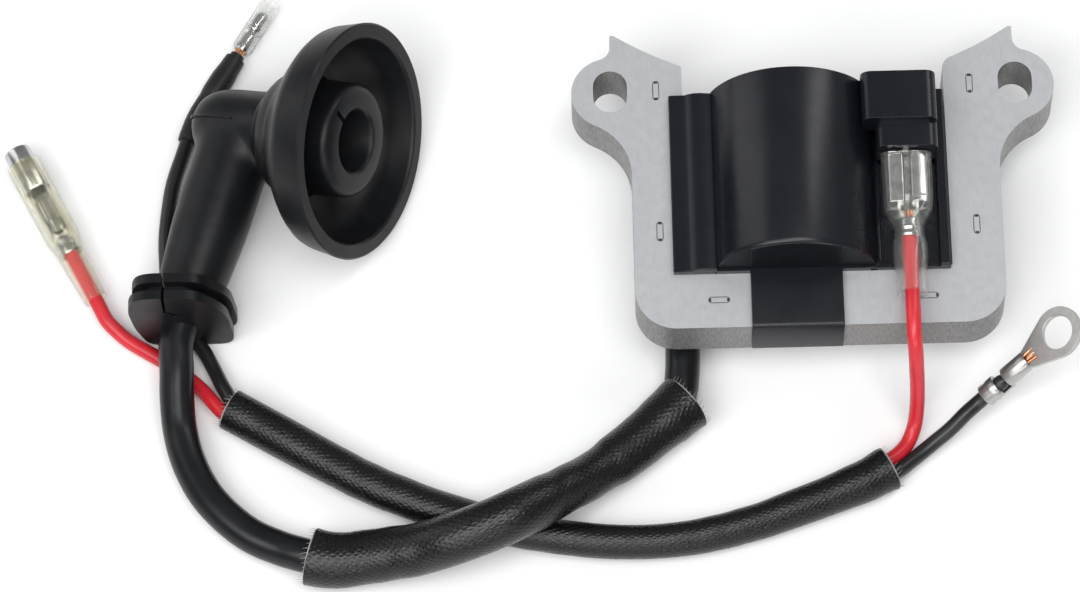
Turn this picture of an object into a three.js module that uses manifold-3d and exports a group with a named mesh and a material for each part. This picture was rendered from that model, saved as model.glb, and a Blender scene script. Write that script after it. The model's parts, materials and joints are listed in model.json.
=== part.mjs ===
// Flywheel ignition coil of a small two-stroke engine, with its plug lead and stop harness.
// Millimetres. The coil lies on its back on z = 0: +Y points to the flywheel, +Z out of the case's dome.
import * as THREE from 'three';
import { mergeVertices } from 'three/addons/utils/BufferGeometryUtils.js';
import Module from 'manifold-3d';

const wasm = await Module();
wasm.setup();

// ---------------------------------------------------------------- driving dimensions

// Laminated core
const sheetThickness = 0.65;
const sheetCount = 12;
const coreBottom = 8.7;
const coreTop = coreBottom + sheetCount * sheetThickness;
const legInner = 20;
const legOuter = 28;
const yokeFront = -24.5;
const yokeBack = -15;
const yokeCorner = 6.3;
const tipY = 25.05;
const tipInnerX = 30.3;
const tipOuterX = 30.9;
const flywheelRadius = 53.5;
const slotX = 31;
const slotY = 15.45;
const slotWidth = 5.2;
const slotLength = 7;
const earY = 15.2;
const earRadius = 5.95;
const earToTipFillet = 2.2;
const earToLegFillet = 9.4;
const coilX = -3.6;
const coilZ = (coreBottom + coreTop) / 2;
const centreLegWidth = 9;
const centreLegEnd = 12;

// Case
const caseFront = -15.75;
const caseBack = 14.05;
const caseWall = 1.2;
const bodyHalfWidth = 19.6;
const bodyFront = -14.6;
const flangeLeft = -22.2;
const flangeTop = 17.8;
const trayRight = 19.8;
const trayRim = 17.3;
const trayFloor = 16.8;
const domeRadius = 13;
const domeAxisZ = 13.7;
const domeFront = -15.2;
const bossLeft = 7;
const bossRight = 18.4;
const bossFront = 6.1;
const bossTop = 24.4;
const hoodLeft = 9;
const hoodFront = 2;
const hoodTop = 23.1;
const strapHalfWidth = 6.95;
const strapThickness = 1.1;
const strapFaceThickness = 0.55;
const leadTowerX = -20.9;
const leadTowerZ = 4.3;
const leadTowerRadius = 4.2;
const leadTowerFront = -21;

// Windings and bobbins, round the centre leg
const windingBack = 11.6;
const windingFront = -12.6;
const secondaryInner = 8.9;
const secondaryTube = 9.6;
const secondaryRib = 11.2;
const secondarySections = 4;

// Stop terminal and its push-on connector
const bladeX = 13.55;
const bladeWidth = 4.8;
const bladeThickness = 0.8;
const bladeBottom = 18.7;
const bladeTip = -4.7;
const connectorZ = 20;
const connectorFront = 1.6;
const connectorBack = -6.6;
const connectorWidth = 6.3;
const connectorHeight = 3.3;
const connectorSleeveEnd = -21.3;

// Leads
const leadRadius = 2.65;
const leadSleeveOuter = 3.75;
const leadSleeveInner = 3.3;
const leadSleeveStart = 11.5;
const leadSleeveEnd = 81.7;
const wireRadius = 1.12;
const harnessOuter = 3;
const harnessInner = 2.7;
const wirePitch = 1.16;
const shrinkTubeLength = 17.2;
const leadStep = 5;
const wireStep = 4.5;

// Plug boot: its origin is where the neck's and the arm's axes cross
const bootOrigin = new THREE.Vector3(-89.5, 14.63, 9.2);
const bootTurn = { roll: 7.67, rise: 22.9, heading: -20.3 };
const armLean = 3.75;
const armEnd = 27.6;
const armShift = 1.9;
const mouthDistance = 23.5;
const mouthRadius = 18.3;
const mouthInner = 15.8;

const gap = 0.3;

// ---------------------------------------------------------------- materials

function finish(color, roughness, metalness) {
  return new THREE.MeshStandardMaterial({ color, roughness, metalness });
}

const lamination = () => finish(0xa9abad, 0.45, 0.8);
const blackPlastic = () => finish(0x1d1f24, 0.35, 0);
const blackRubber = () => finish(0x202124, 0.6, 0);
const tinPlate = () => finish(0xd2d3d2, 0.3, 0.9);
const clearVinyl = () => finish(0xd9dcce, 0.25, 0);
const copper = () => finish(0xb56a3c, 0.4, 0.9);

// ---------------------------------------------------------------- shape helpers

const degrees = THREE.MathUtils.degToRad;

function toSolid(geometry) {
  const bare = geometry.clone();
  bare.deleteAttribute('normal');
  bare.deleteAttribute('uv');
  const merged = mergeVertices(bare, 1e-4);
  return new wasm.Manifold(new wasm.Mesh({
    numProp: 3,
    vertProperties: new Float32Array(merged.attributes.position.array),
    triVerts: new Uint32Array(merged.index.array),
  }));
}

function toGeometry(solid) {
  const mesh = solid.getMesh();
  const geometry = new THREE.BufferGeometry();
  geometry.setAttribute('position', new THREE.BufferAttribute(mesh.vertProperties, 3));
  geometry.setIndex(new THREE.BufferAttribute(mesh.triVerts, 1));
  geometry.computeVertexNormals();
  return geometry;
}

// Adds the first list of geometries together and cuts the second list from them.
function combine(added, removed = []) {
  const body = added.map(toSolid).reduce((whole, piece) => whole.add(piece));
  return toGeometry(removed.map(toSolid).reduce((whole, piece) => whole.subtract(piece), body));
}

function box(x0, x1, y0, y1, z0, z1) {
  const geometry = new THREE.BoxGeometry(x1 - x0, y1 - y0, z1 - z0);
  return geometry.translate((x0 + x1) / 2, (y0 + y1) / 2, (z0 + z1) / 2);
}

function arc(x, y, radius, startDegrees, endDegrees, steps) {
  return Array.from({ length: steps + 1 }, (_, i) => {
    const angle = degrees(startDegrees + (endDegrees - startDegrees) * i / steps);
    return new THREE.Vector2(x + radius * Math.cos(angle), y + radius * Math.sin(angle));
  });
}

// A shape drawn in X and Z and drawn out along Y from yFront to yBack.
function drawnAlongY(shape, yFront, yBack, curveSegments = 6, steps = 1) {
  const settings = { depth: yBack - yFront, bevelEnabled: false, curveSegments, steps };
  return new THREE.ExtrudeGeometry(shape, settings).rotateX(Math.PI / 2).translate(0, yBack, 0);
}

// A round rod along Y.
function rodAlongY(x, z, radius, yFront, yBack, sides = 24) {
  const geometry = new THREE.CylinderGeometry(radius, radius, yBack - yFront, sides);
  return geometry.translate(x, (yFront + yBack) / 2, z);
}

function roundedRectangle(centreX, centreY, width, height, radius, path = new THREE.Shape()) {
  const x = width / 2 - radius;
  const y = height / 2 - radius;
  path.absarc(centreX + x, centreY + y, radius, 0, Math.PI / 2, false);
  path.absarc(centreX - x, centreY + y, radius, Math.PI / 2, Math.PI, false);
  path.absarc(centreX - x, centreY - y, radius, Math.PI, 1.5 * Math.PI, false);
  path.absarc(centreX + x, centreY - y, radius, 1.5 * Math.PI, 2 * Math.PI, false);
  path.closePath();
  return path;
}

function roundedFrame(centreX, centreY, outer, inner) {
  const shape = roundedRectangle(centreX, centreY, outer.width, outer.height, outer.radius);
  const hole = new THREE.Path();
  shape.holes.push(roundedRectangle(centreX, centreY, inner.width, inner.height, inner.radius, hole));
  return shape;
}

// A body turned about an axis that runs from `start` in `direction`; the profile lists [along, radius].
function turned(profile, start, direction, sides = 24) {
  const points = profile.map(([along, radius]) => new THREE.Vector2(radius, along));
  const toDirection = new THREE.Quaternion().setFromUnitVectors(new THREE.Vector3(0, 1, 0), direction);
  const geometry = new THREE.LatheGeometry(points, sides).applyQuaternion(toDirection);
  return geometry.translate(start.x, start.y, start.z);
}

function mesh(name, geometry, material) {
  const piece = new THREE.Mesh(geometry, material);
  piece.name = name;
  return piece;
}

// ---------------------------------------------------------------- curves of the leads

function curveThrough(points) {
  return new THREE.CatmullRomCurve3(points.map((point) => new THREE.Vector3(...point)));
}

// The stretch of a curve between two distances from its start.
class Stretch extends THREE.Curve {
  constructor(curve, start, end) {
    super();
    this.curve = curve;
    this.start = start / curve.getLength();
    this.end = end / curve.getLength();
  }

  getPoint(t, target = new THREE.Vector3()) {
    return this.curve.getPointAt(this.start + (this.end - this.start) * t, target);
  }
}

function tube(curve, radius, sides, stepLength, bore = 0) {
  const shape = new THREE.Shape(arc(0, 0, radius, 0, 360 - 360 / sides, sides - 1));
  if (bore > 0) {
    shape.holes.push(new THREE.Path(arc(0, 0, bore, 0, 360 - 360 / sides, sides - 1)));
  }
  const steps = Math.max(2, Math.round(curve.getLength() / stepLength));
  return new THREE.ExtrudeGeometry(shape, { steps, bevelEnabled: false, extrudePath: curve });
}

// Direction of the boot's arm, away from the elbow, and points along it.
const bootRotation = new THREE.Euler(
  degrees(bootTurn.roll), degrees(-bootTurn.rise), degrees(bootTurn.heading), 'ZYX',
);
const armInBoot = new THREE.Vector3(Math.sin(degrees(armLean)), -Math.cos(degrees(armLean)), 0);
const armDirection = armInBoot.clone().applyEuler(bootRotation);

function onArm(distance) {
  return bootOrigin.clone().addScaledVector(armDirection, distance).toArray();
}

const leadCurve = curveThrough([
  [leadTowerX, leadTowerFront + 5, leadTowerZ], [leadTowerX, leadTowerFront, leadTowerZ],
  [-21.1, -26.7, 4.05], [-21.7, -30.4, 3.9], [-23.8, -33.8, 3.9], [-27.8, -37.4, 4.0],
  [-34.0, -42.5, 5.0], [-40.1, -47.3, 8.4], [-46.1, -51.4, 10.9], [-50.6, -53.4, 10.8],
  [-55.9, -54.7, 9.2], [-61.2, -55.2, 6.6], [-67.3, -55.3, 4.7], [-72.0, -55.6, 4.0],
  [-75.6, -55.5, 3.9], [-78.6, -54.7, 3.8], [-82.4, -53.1, 3.0], [-87.0, -50.7, 2.7],
  [-91.1, -47.1, 2.7], [-94.1, -43.2, 2.7], [-96.4, -38.2, 2.7], [-97.6, -33.3, 2.9],
  [-98.0, -28.8, 4.0], [-98.0, -24.7, 5.1], onArm(36), onArm(33), onArm(28), onArm(22), onArm(16),
  onArm(12),
]);

const harnessCurve = curveThrough([
  [9.7, -42.5, 3.0], [5.2, -44.8, 3.0], [-0.1, -46.9, 3.0], [-10.2, -50.6, 3.0], [-19.2, -52.8, 3.0],
  [-26.7, -53.5, 3.0], [-34.2, -53.2, 3.0], [-43.2, -51.8, 3.0], [-52.3, -49.5, 3.0], [-60.5, -46.6, 3.0],
  [-68.8, -42.9, 3.0], [-77.2, -38.0, 3.0], [-83.9, -33.9, 3.0], [-89.9, -30.2, 3.0],
]);

// The two wires lie side by side in the harness sleeve and make half a turn about each other.
function wireInHarness(side) {
  const stations = 16;
  return Array.from({ length: stations + 1 }, (_, i) => {
    const t = i / stations;
    const along = harnessCurve.getTangentAt(t);
    const across = new THREE.Vector3(along.y, -along.x, 0).normalize();
    const point = harnessCurve.getPointAt(t);
    point.addScaledVector(across, -side * wirePitch * Math.cos(Math.PI * t));
    point.z += side * wirePitch * Math.sin(Math.PI * t);
    return point.toArray();
  });
}

const socketTail = new THREE.Vector3(-110.7, -11, 2.2);
const socketDirection = new THREE.Vector3(-0.448, 0.893, 0.06).normalize();
const bulletStart = new THREE.Vector3(-88.6, 31.3, 1.75);
const bulletDirection = new THREE.Vector3(0.505, 0.863, 0).normalize();
const ringTail = new THREE.Vector3(24.4, -32.5, 6);
const ringDirection = new THREE.Vector3(0.712, 0.422, 0.562).normalize();
const ringRoll = -11.5;

function beyond(start, direction, distance) {
  return start.clone().addScaledVector(direction, distance).toArray();
}

const stopWireCurve = curveThrough([
  [bladeX, -11.6, connectorZ], [bladeX, -16, connectorZ],
  [bladeX, -21, connectorZ], [bladeX, -25, connectorZ],
  [13.6, -27.7, 19.2], [13.8, -29.6, 17.0], [14.0, -31.0, 13.8], [14.2, -32.3, 9.8], [14.2, -33.9, 5.9],
  [13.8, -35.9, 3.3], [12.6, -38.4, 2.4], [10.9, -40.3, 2.7], ...wireInHarness(-1),
  [-92.5, -28.9, 2.5], [-94.3, -26.3, 1.5], [-97.2, -23.5, 1.2], [-100.4, -21.1, 1.2], [-103.3, -19.2, 1.2],
  [-105.7, -17.6, 1.3], [-107.5, -16.0, 1.6], beyond(socketTail, socketDirection, -3.8),
  beyond(socketTail, socketDirection, -1),
  beyond(socketTail, socketDirection, 4), beyond(socketTail, socketDirection, 9.4),
]);

const groundWireCurve = curveThrough([
  beyond(ringTail, ringDirection, 1.6), beyond(ringTail, ringDirection, -1.5), [21.8, -34.4, 4.9],
  [19.2, -36.6, 3.7], [16.6, -38.4, 2.7], [13.8, -40.6, 2.4], ...wireInHarness(1),
  [-90.9, -26.6, 2.5], [-92.4, -23.2, 1.6], [-94.1, -19.7, 1.3], [-96.3, -16.8, 1.3], [-98.0, -14.6, 1.3],
  [-99.1, -11.7, 1.3], [-99.7, -8.3, 1.3], [-100.0, -4.4, 1.3], [-100.1, -0.6, 1.3], [-99.7, 4.1, 1.4],
  [-99.0, 8.6, 1.6], [-97.5, 13.6, 1.7], [-96.4, 17.1, 1.7], [-94.9, 20.8, 1.7],
  beyond(bulletStart, bulletDirection, -6.5), beyond(bulletStart, bulletDirection, -3),
  beyond(bulletStart, bulletDirection, -0.8),
]);

// ---------------------------------------------------------------- laminated core

// Right-hand limb of the core, from the yoke's front to the leg's inner edge.
function limbOutline(innerCornerRadius) {
  const cornerX = legOuter - yokeCorner;
  const filletX = legOuter + earToLegFillet;
  const filletToEar = earToLegFillet + earRadius;
  const filletY = earY - Math.sqrt(filletToEar ** 2 - (filletX - slotX) ** 2);
  const earAngle = THREE.MathUtils.radToDeg(Math.atan2(earY - filletY, slotX - filletX));
  const tipFilletX = tipOuterX + earToTipFillet;
  const tipFilletY = earY + Math.sqrt((earRadius + earToTipFillet) ** 2 - (tipFilletX - slotX) ** 2);
  const tipAngle = THREE.MathUtils.radToDeg(Math.atan2(tipFilletY - earY, tipFilletX - slotX));
  const flywheelY = tipY + Math.sqrt(flywheelRadius ** 2 - tipInnerX ** 2);
  const roundX = legInner + innerCornerRadius;
  const roundY = flywheelY - Math.sqrt((flywheelRadius + innerCornerRadius) ** 2 - roundX ** 2);
  const faceStart = THREE.MathUtils.radToDeg(Math.atan2(tipY - flywheelY, tipInnerX));
  const faceEnd = THREE.MathUtils.radToDeg(Math.atan2(roundY - flywheelY, roundX));
  return [
    ...arc(cornerX, yokeFront + yokeCorner, yokeCorner, -90, 0, 5),
    ...arc(filletX, filletY, earToLegFillet, 180, earAngle, 4),
    ...arc(slotX, earY, earRadius, earAngle - 180, tipAngle, 9).slice(1),
    ...arc(tipFilletX, tipFilletY, earToTipFillet, tipAngle + 180, 180, 3).slice(1),
    new THREE.Vector2(tipOuterX, tipY),
    ...arc(0, flywheelY, flywheelRadius, faceStart, faceEnd, 5),
    ...arc(roundX, roundY, innerCornerRadius, faceEnd + 180, 180, 3).slice(1),
  ];
}

function laminationShape() {
  const right = limbOutline(2);
  const left = limbOutline(0.5).map((point) => new THREE.Vector2(-point.x, point.y)).reverse();
  const legRight = coilX + centreLegWidth / 2;
  const legLeft = coilX - centreLegWidth / 2;
  const window = [
    [legInner, yokeBack], [legRight, yokeBack], [legRight, centreLegEnd], [legLeft, centreLegEnd],
    [legLeft, yokeBack], [-legInner, yokeBack],
  ].map(([x, y]) => new THREE.Vector2(x, y));
  const shape = new THREE.Shape([...right, ...window, ...left]);
  const straight = (slotLength - slotWidth) / 2;
  for (const x of [-slotX, slotX]) {
    const upper = arc(x, slotY + straight, slotWidth / 2, 0, 180, 5);
    const lower = arc(x, slotY - straight, slotWidth / 2, 180, 360, 5);
    shape.holes.push(new THREE.Path([...upper, ...lower]));
  }
  return shape;
}

function coreLaminations() {
  return Array.from({ length: sheetCount }, (_, i) => {
    const sheet = new THREE.ExtrudeGeometry(laminationShape(), { depth: sheetThickness, bevelEnabled: false });
    sheet.translate(0, 0, coreBottom + i * sheetThickness);
    return mesh(`core_lamination_${String(i + 1).padStart(2, '0')}`, sheet, lamination());
  });
}

// ---------------------------------------------------------------- case and its resin

// Half-round section of the dome, standing on the core's top face.
function domeSection(radius, baseZ) {
  const halfAngle = THREE.MathUtils.radToDeg(Math.asin((baseZ - domeAxisZ) / radius));
  return new THREE.Shape(arc(coilX, domeAxisZ, radius, halfAngle, 180 - halfAngle, 20));
}

function coilCase() {
  const centreLegRoom = centreLegWidth / 2 + gap;
  const legRoomBottom = coreBottom - gap;
  const cavityTop = coreTop - caseWall;
  const terminalRoomTop = bossTop - caseWall;
  const added = [
    box(-bodyHalfWidth, bodyHalfWidth, bodyFront, caseBack - 0.1, 0, coreTop + gap),
    box(flangeLeft, -12, caseFront, caseBack, coreTop, flangeTop),
    box(-12, 8, caseFront, caseBack - 0.1, coreTop, flangeTop),
    box(6, trayRight, caseFront, caseBack, coreTop, trayRim),
    box(bossRight - gap, trayRight, caseFront, caseBack, coreTop, flangeTop + 0.4),
    drawnAlongY(domeSection(domeRadius, coreTop), domeFront, caseBack, 1),
    box(bossLeft, bossRight, bossFront, caseBack, coreTop, bossTop),
    box(hoodLeft, bossRight, hoodFront, bossFront + 1, coreTop, hoodTop),
    box(coilX - strapHalfWidth, coilX + strapHalfWidth, yokeFront - strapFaceThickness, domeFront + 1,
      coreTop, coreTop + strapThickness),
    box(coilX - strapHalfWidth, coilX + strapHalfWidth, yokeFront - strapFaceThickness, yokeFront,
      coreBottom + 0.8, coreTop + strapThickness),
    rodAlongY(leadTowerX, leadTowerZ, leadTowerRadius, leadTowerFront, -8, 24),
  ];
  const removed = [
    box(-bodyHalfWidth + caseWall, bodyHalfWidth - caseWall, bodyFront + caseWall, caseBack - caseWall - 0.1,
      -1, cavityTop),
    drawnAlongY(
      domeSection(domeRadius - caseWall, cavityTop - 0.5), bodyFront + caseWall, caseBack - caseWall, 1,
    ),
    box(hoodLeft + caseWall, bossRight - caseWall, bossFront - 1.5, caseBack - caseWall, cavityTop - 1,
      terminalRoomTop),
    box(bladeX - bladeWidth / 2 - gap, bladeX + bladeWidth / 2 + gap, hoodFront - 1, bossFront,
      bladeBottom - gap, bladeBottom + bladeThickness + gap),
    box(coilX - centreLegRoom, coilX + centreLegRoom, bodyFront - 1, bodyFront + caseWall + 1,
      legRoomBottom, coreTop),
    box(hoodLeft + 0.6, bossRight - 0.7, bodyFront, hoodFront - gap, trayFloor, trayRim + 1),
    rodAlongY(leadTowerX, leadTowerZ, leadRadius + gap, leadTowerFront - 1, -9.5, 24),
    box(leadTowerX, -bodyHalfWidth + caseWall + 1, -11.6, -9.6, leadTowerZ - 1, leadTowerZ + 1),
  ];
  return mesh('coil_case', combine(added, removed), blackPlastic());
}

function pottingResin() {
  const side = bodyHalfWidth - caseWall - 0.1;
  const front = bodyFront + caseWall + 0.1;
  const back = caseBack - caseWall - 0.2;
  const fill = box(-side, side, front, back, 0.5, coilZ - gap);
  const removed = [
    rodAlongY(coilX, coilZ, secondaryRib + gap, front - 1, back + 1, 32),
    box(7, side - gap, front + 0.8, back - 0.3, 4.4, coilZ + 1),
    box(-side - 1, -14.5, -12, -9.2, 3, coilZ + 1),
  ];
  return mesh('potting_resin', combine([fill], removed), finish(0x2a211b, 0.3, 0));
}

// ---------------------------------------------------------------- bobbins and windings

const primaryBore = { width: centreLegWidth + 2 * gap, height: coreTop - coreBottom + 2 * gap, radius: 0.3 };
const primaryTube = { width: primaryBore.width + 1.6, height: primaryBore.height + 1.6, radius: 0.8 };
const primaryWire = { width: primaryTube.width + 2.6, height: primaryTube.height + 2.6, radius: 2.4 };
const primaryFlange = 0.8;

function primaryBobbin() {
  const tubeFrame = roundedFrame(coilX, coilZ, primaryTube, primaryBore);
  const flangeFrame = roundedFrame(coilX, coilZ, primaryWire, primaryBore);
  const pieces = [
    drawnAlongY(tubeFrame, windingFront, windingBack, 3),
    drawnAlongY(flangeFrame, windingFront, windingFront + primaryFlange, 3),
    drawnAlongY(flangeFrame, windingBack - primaryFlange, windingBack, 3),
  ];
  return mesh('primary_bobbin', combine(pieces), finish(0xd8d2c0, 0.5, 0));
}

function primaryWinding() {
  const clear = 0.1;
  const bore = { width: primaryTube.width + clear, height: primaryTube.height + clear, radius: 0.9 };
  const wire = { width: primaryWire.width - 0.4, height: primaryWire.height - 0.4, radius: 2.2 };
  const frame = roundedFrame(coilX, coilZ, wire, bore);
  const end = primaryFlange + clear;
  return mesh('primary_winding', drawnAlongY(frame, windingFront + end, windingBack - end, 3), copper());
}

const ribThickness = 0.8;
const sectionPitch = (windingBack - windingFront - ribThickness) / secondarySections;

function secondaryBobbin() {
  const ribs = Array.from({ length: secondarySections + 1 }, (_, i) => windingFront + i * sectionPitch);
  const outside = ribs.flatMap((y) => [
    [y, secondaryTube], [y, secondaryRib],
    [y + ribThickness, secondaryRib], [y + ribThickness, secondaryTube],
  ]).slice(1, -1);
  const closed = [[windingFront, secondaryInner], ...outside, [windingBack, secondaryInner],
    [windingFront, secondaryInner]];
  const axis = new THREE.Vector3(0, 1, 0);
  const geometry = turned(closed, new THREE.Vector3(coilX, 0, coilZ), axis, 20);
  return mesh('secondary_bobbin', geometry, finish(0xe4e0d2, 0.5, 0));
}

function secondaryWindings() {
  const clear = 0.1;
  return Array.from({ length: secondarySections }, (_, i) => {
    const start = windingFront + i * sectionPitch + ribThickness + clear;
    const end = windingFront + (i + 1) * sectionPitch - clear;
    const inner = secondaryTube + 0.2;
    const outer = secondaryRib - 0.3;
    const profile = [[start, inner], [start, outer], [end, outer], [end, inner], [start, inner]];
    const centre = new THREE.Vector3(coilX, 0, coilZ);
    const geometry = turned(profile, centre, new THREE.Vector3(0, 1, 0), 20);
    return mesh(`secondary_winding_${i + 1}`, geometry, copper());
  });
}

// ---------------------------------------------------------------- electronics in the case

const boardTop = 5.7;

function electronics() {
  const board = box(8.6, 17.6, -11.5, 11.8, boardTop - 1, boardTop);
  const transistor = combine([
    box(9.4, 17.2, -10.6, -7.4, boardTop + 1.6, boardTop + 9),
    ...[11, 13.3, 15.6].map((x) => box(x - 0.4, x + 0.4, -9.3, -8.7, boardTop + 0.1, boardTop + 2)),
  ]);
  const across = (x, yFront, yBack, radius) => (
    rodAlongY(x, boardTop + 0.2 + radius, radius, yFront, yBack, 12)
  );
  return [
    mesh('control_board', board, finish(0x2f5d3a, 0.6, 0)),
    mesh('ignition_transistor', transistor, finish(0x222222, 0.5, 0)),
    mesh('trigger_resistor', across(10.7, -4.5, 1.8, 1.2), finish(0xc8b48a, 0.5, 0)),
    mesh('bias_resistor', across(14.3, -4.5, 1.8, 1.2), finish(0xc8b48a, 0.5, 0)),
    mesh('clamp_diode', across(16.2, 3.4, 7.4, 1), finish(0x1b1b1b, 0.4, 0)),
  ];
}

// The blade runs from the board up into the boss, turns forward and comes out under the hood.
function stopBlade() {
  const bendY = 8.8;
  const top = bladeBottom + bladeThickness;
  const half = bladeWidth / 2;
  const plan = new THREE.Shape([
    [-half, bendY], [-half, bladeTip + 1], [-half + 1, bladeTip], [half - 1, bladeTip], [half, bladeTip + 1],
    [half, bendY],
  ].map(([x, y]) => new THREE.Vector2(bladeX + x, y)));
  const tongue = new THREE.ExtrudeGeometry(plan, { depth: bladeThickness, bevelEnabled: false });
  tongue.translate(0, 0, bladeBottom);
  const tail = box(bladeX - half, bladeX + half, bendY - bladeThickness, bendY, boardTop + 0.1, top);
  return mesh('stop_blade', combine([tongue, tail]), tinPlate());
}

// Brass pin in the lead tower's bore, with a tag that reaches the secondary winding.
function leadContact() {
  const pin = rodAlongY(leadTowerX, leadTowerZ, 0.6, -15.2, -10.2, 10);
  const tag = box(leadTowerX, -15.2, -10.9, -10.3, leadTowerZ - 0.6, leadTowerZ + 0.6);
  return mesh('lead_contact', combine([pin, tag]), finish(0xb89a55, 0.35, 0.9));
}

// ---------------------------------------------------------------- push-on connector of the stop wire

// Tin-plated receptacle: a flat floor under the blade, its two sides rolled over on top of it.
function pushOnConnector() {
  const half = connectorWidth / 2;
  const floor = bladeBottom - 0.4;
  const top = floor + connectorHeight;
  const roomHalf = bladeWidth / 2 + 0.2;
  const roomBottom = bladeBottom - 0.1;
  const roomTop = bladeBottom + bladeThickness + 0.12;
  const seam = 0.45;
  const section = new THREE.Shape([
    [-half, floor + 0.5], [-half + 0.5, floor], [half - 0.5, floor], [half, floor + 0.5], [half, top - 0.8],
    [half - 0.8, top], [seam + 0.6, top], [seam, top - 0.6],
    [seam, roomTop], [roomHalf, roomTop], [roomHalf, roomBottom],
    [-roomHalf, roomBottom], [-roomHalf, roomTop],
    [-seam, roomTop], [-seam, top - 0.6], [-seam - 0.6, top], [-half + 0.8, top], [-half, top - 0.8],
  ].map(([x, z]) => new THREE.Vector2(bladeX + x, z)));
  const neck = new THREE.Shape([
    [-1.6, floor], [1.6, floor], [1.6, floor + 1.6],
    [1.2, floor + 1.6], [1.2, floor + 0.4], [-1.2, floor + 0.4],
    [-1.2, floor + 1.6], [-1.6, floor + 1.6],
  ].map(([x, z]) => new THREE.Vector2(bladeX + x, z)));
  const pieces = [
    drawnAlongY(section, connectorBack, connectorFront),
    drawnAlongY(neck, connectorBack - 2.6, connectorBack + 0.2),
    rodAlongY(bladeX, connectorZ, 1.72, connectorBack - 5.6, connectorBack - 2.4, 16),
  ];
  const wireRoom = rodAlongY(
    bladeX, connectorZ, wireRadius + 0.2, connectorBack - 7, connectorBack - 4.6, 16,
  );
  return mesh('push_on_connector', combine(pieces, [wireRoom]), tinPlate());
}

// Clear sleeve over the connector: full width over the receptacle, necked down over the crimp and wire.
function pushOnSleeve() {
  const wall = 0.4;
  const wide = { width: 7.7, height: 4.4, radius: 1.5 };
  const wideBore = { width: wide.width - 2 * wall, height: wide.height - 2 * wall, radius: 0.8 };
  const neckRadius = 2.5;
  const shoulder = connectorBack - 3.4;
  const front = connectorFront - 0.1;
  const axis = new THREE.Vector3(0, 1, 0);
  const at = new THREE.Vector3(bladeX, 0, connectorZ);
  const outer = [
    drawnAlongY(
      roundedRectangle(bladeX, connectorZ, wide.width, wide.height, wide.radius), shoulder, front, 3,
    ),
    turned([[connectorSleeveEnd, 0], [connectorSleeveEnd, neckRadius], [shoulder + wall, neckRadius],
      [shoulder + wall, 0]], at, axis, 20),
  ];
  const inner = [
    drawnAlongY(roundedRectangle(bladeX, connectorZ, wideBore.width, wideBore.height, wideBore.radius),
      shoulder + wall, front + 1, 3),
    turned([[connectorSleeveEnd - 1, 0], [connectorSleeveEnd - 1, neckRadius - wall],
      [shoulder + 2 * wall, neckRadius - wall], [shoulder + 2 * wall, 0]], at, axis, 20),
  ];
  return mesh('push_on_connector_sleeve', combine(outer, inner), clearVinyl());
}

// ---------------------------------------------------------------- harness ends

// Female bullet socket with its crimp, in a clear cover.
function wireSocket() {
  const outer = [
    [8.2, 0], [8.2, 1.75], [11.6, 1.75], [13, 1.3], [18.6, 1.3], [20, 2.1], [27.8, 2.1], [27.8, 0],
  ];
  const wireRoom = [[7, 0], [7, wireRadius + 0.2], [10.2, wireRadius + 0.2], [10.2, 0]];
  const socketRoom = [[20.6, 0], [20.6, 1.75], [29, 1.75], [29, 0]];
  const parts = [outer, wireRoom, socketRoom].map(
    (profile) => turned(profile, socketTail, socketDirection, 16),
  );
  return mesh('stop_wire_socket', combine([parts[0]], parts.slice(1)), tinPlate());
}

function wireSocketCover() {
  const outer = [[0, 0], [0, 1.85], [5, 2.2], [9.8, 2.3], [11.6, 2.75], [25.4, 2.75], [25.4, 0]];
  const inner = [[-1, 0], [-1, 1.45], [4.4, 1.45], [5.8, 1.9], [9.9, 1.95], [11.8, 2.4], [26, 2.4], [26, 0]];
  const parts = [outer, inner].map((profile) => turned(profile, socketTail, socketDirection, 16));
  return mesh('stop_wire_socket_cover', combine([parts[0]], [parts[1]]), clearVinyl());
}

// Male bullet with its crimp, in a short clear cover.
function wireBullet() {
  const profile = [[0.1, 0], [0.1, 0.9], [3.6, 0.9], [4.2, 0.6], [5.2, 0.6], [5.8, 1.05], [8.6, 1.05], [9.4, 0.6],
    [9.4, 0]];
  return mesh('ground_wire_bullet', turned(profile, bulletStart, bulletDirection, 14), tinPlate());
}

function wireBulletCover() {
  const outer = [[0.6, 0], [0.6, 1.65], [10.2, 1.65], [10.2, 0]];
  const inner = [[-1, 0], [-1, 1.3], [11, 1.3], [11, 0]];
  const parts = [outer, inner].map((profile) => turned(profile, bulletStart, bulletDirection, 14));
  return mesh('ground_wire_bullet_cover', combine([parts[0]], [parts[1]]), clearVinyl());
}

// Shrink tube over the bullet's end of the ground wire.
function shrinkTube() {
  const end = groundWireCurve.getLength() - 0.15;
  const covered = new Stretch(groundWireCurve, end - shrinkTubeLength, end);
  return mesh('ground_wire_shrink_tube', tube(covered, 1.65, 10, 3, 1.35), blackRubber());
}

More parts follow.
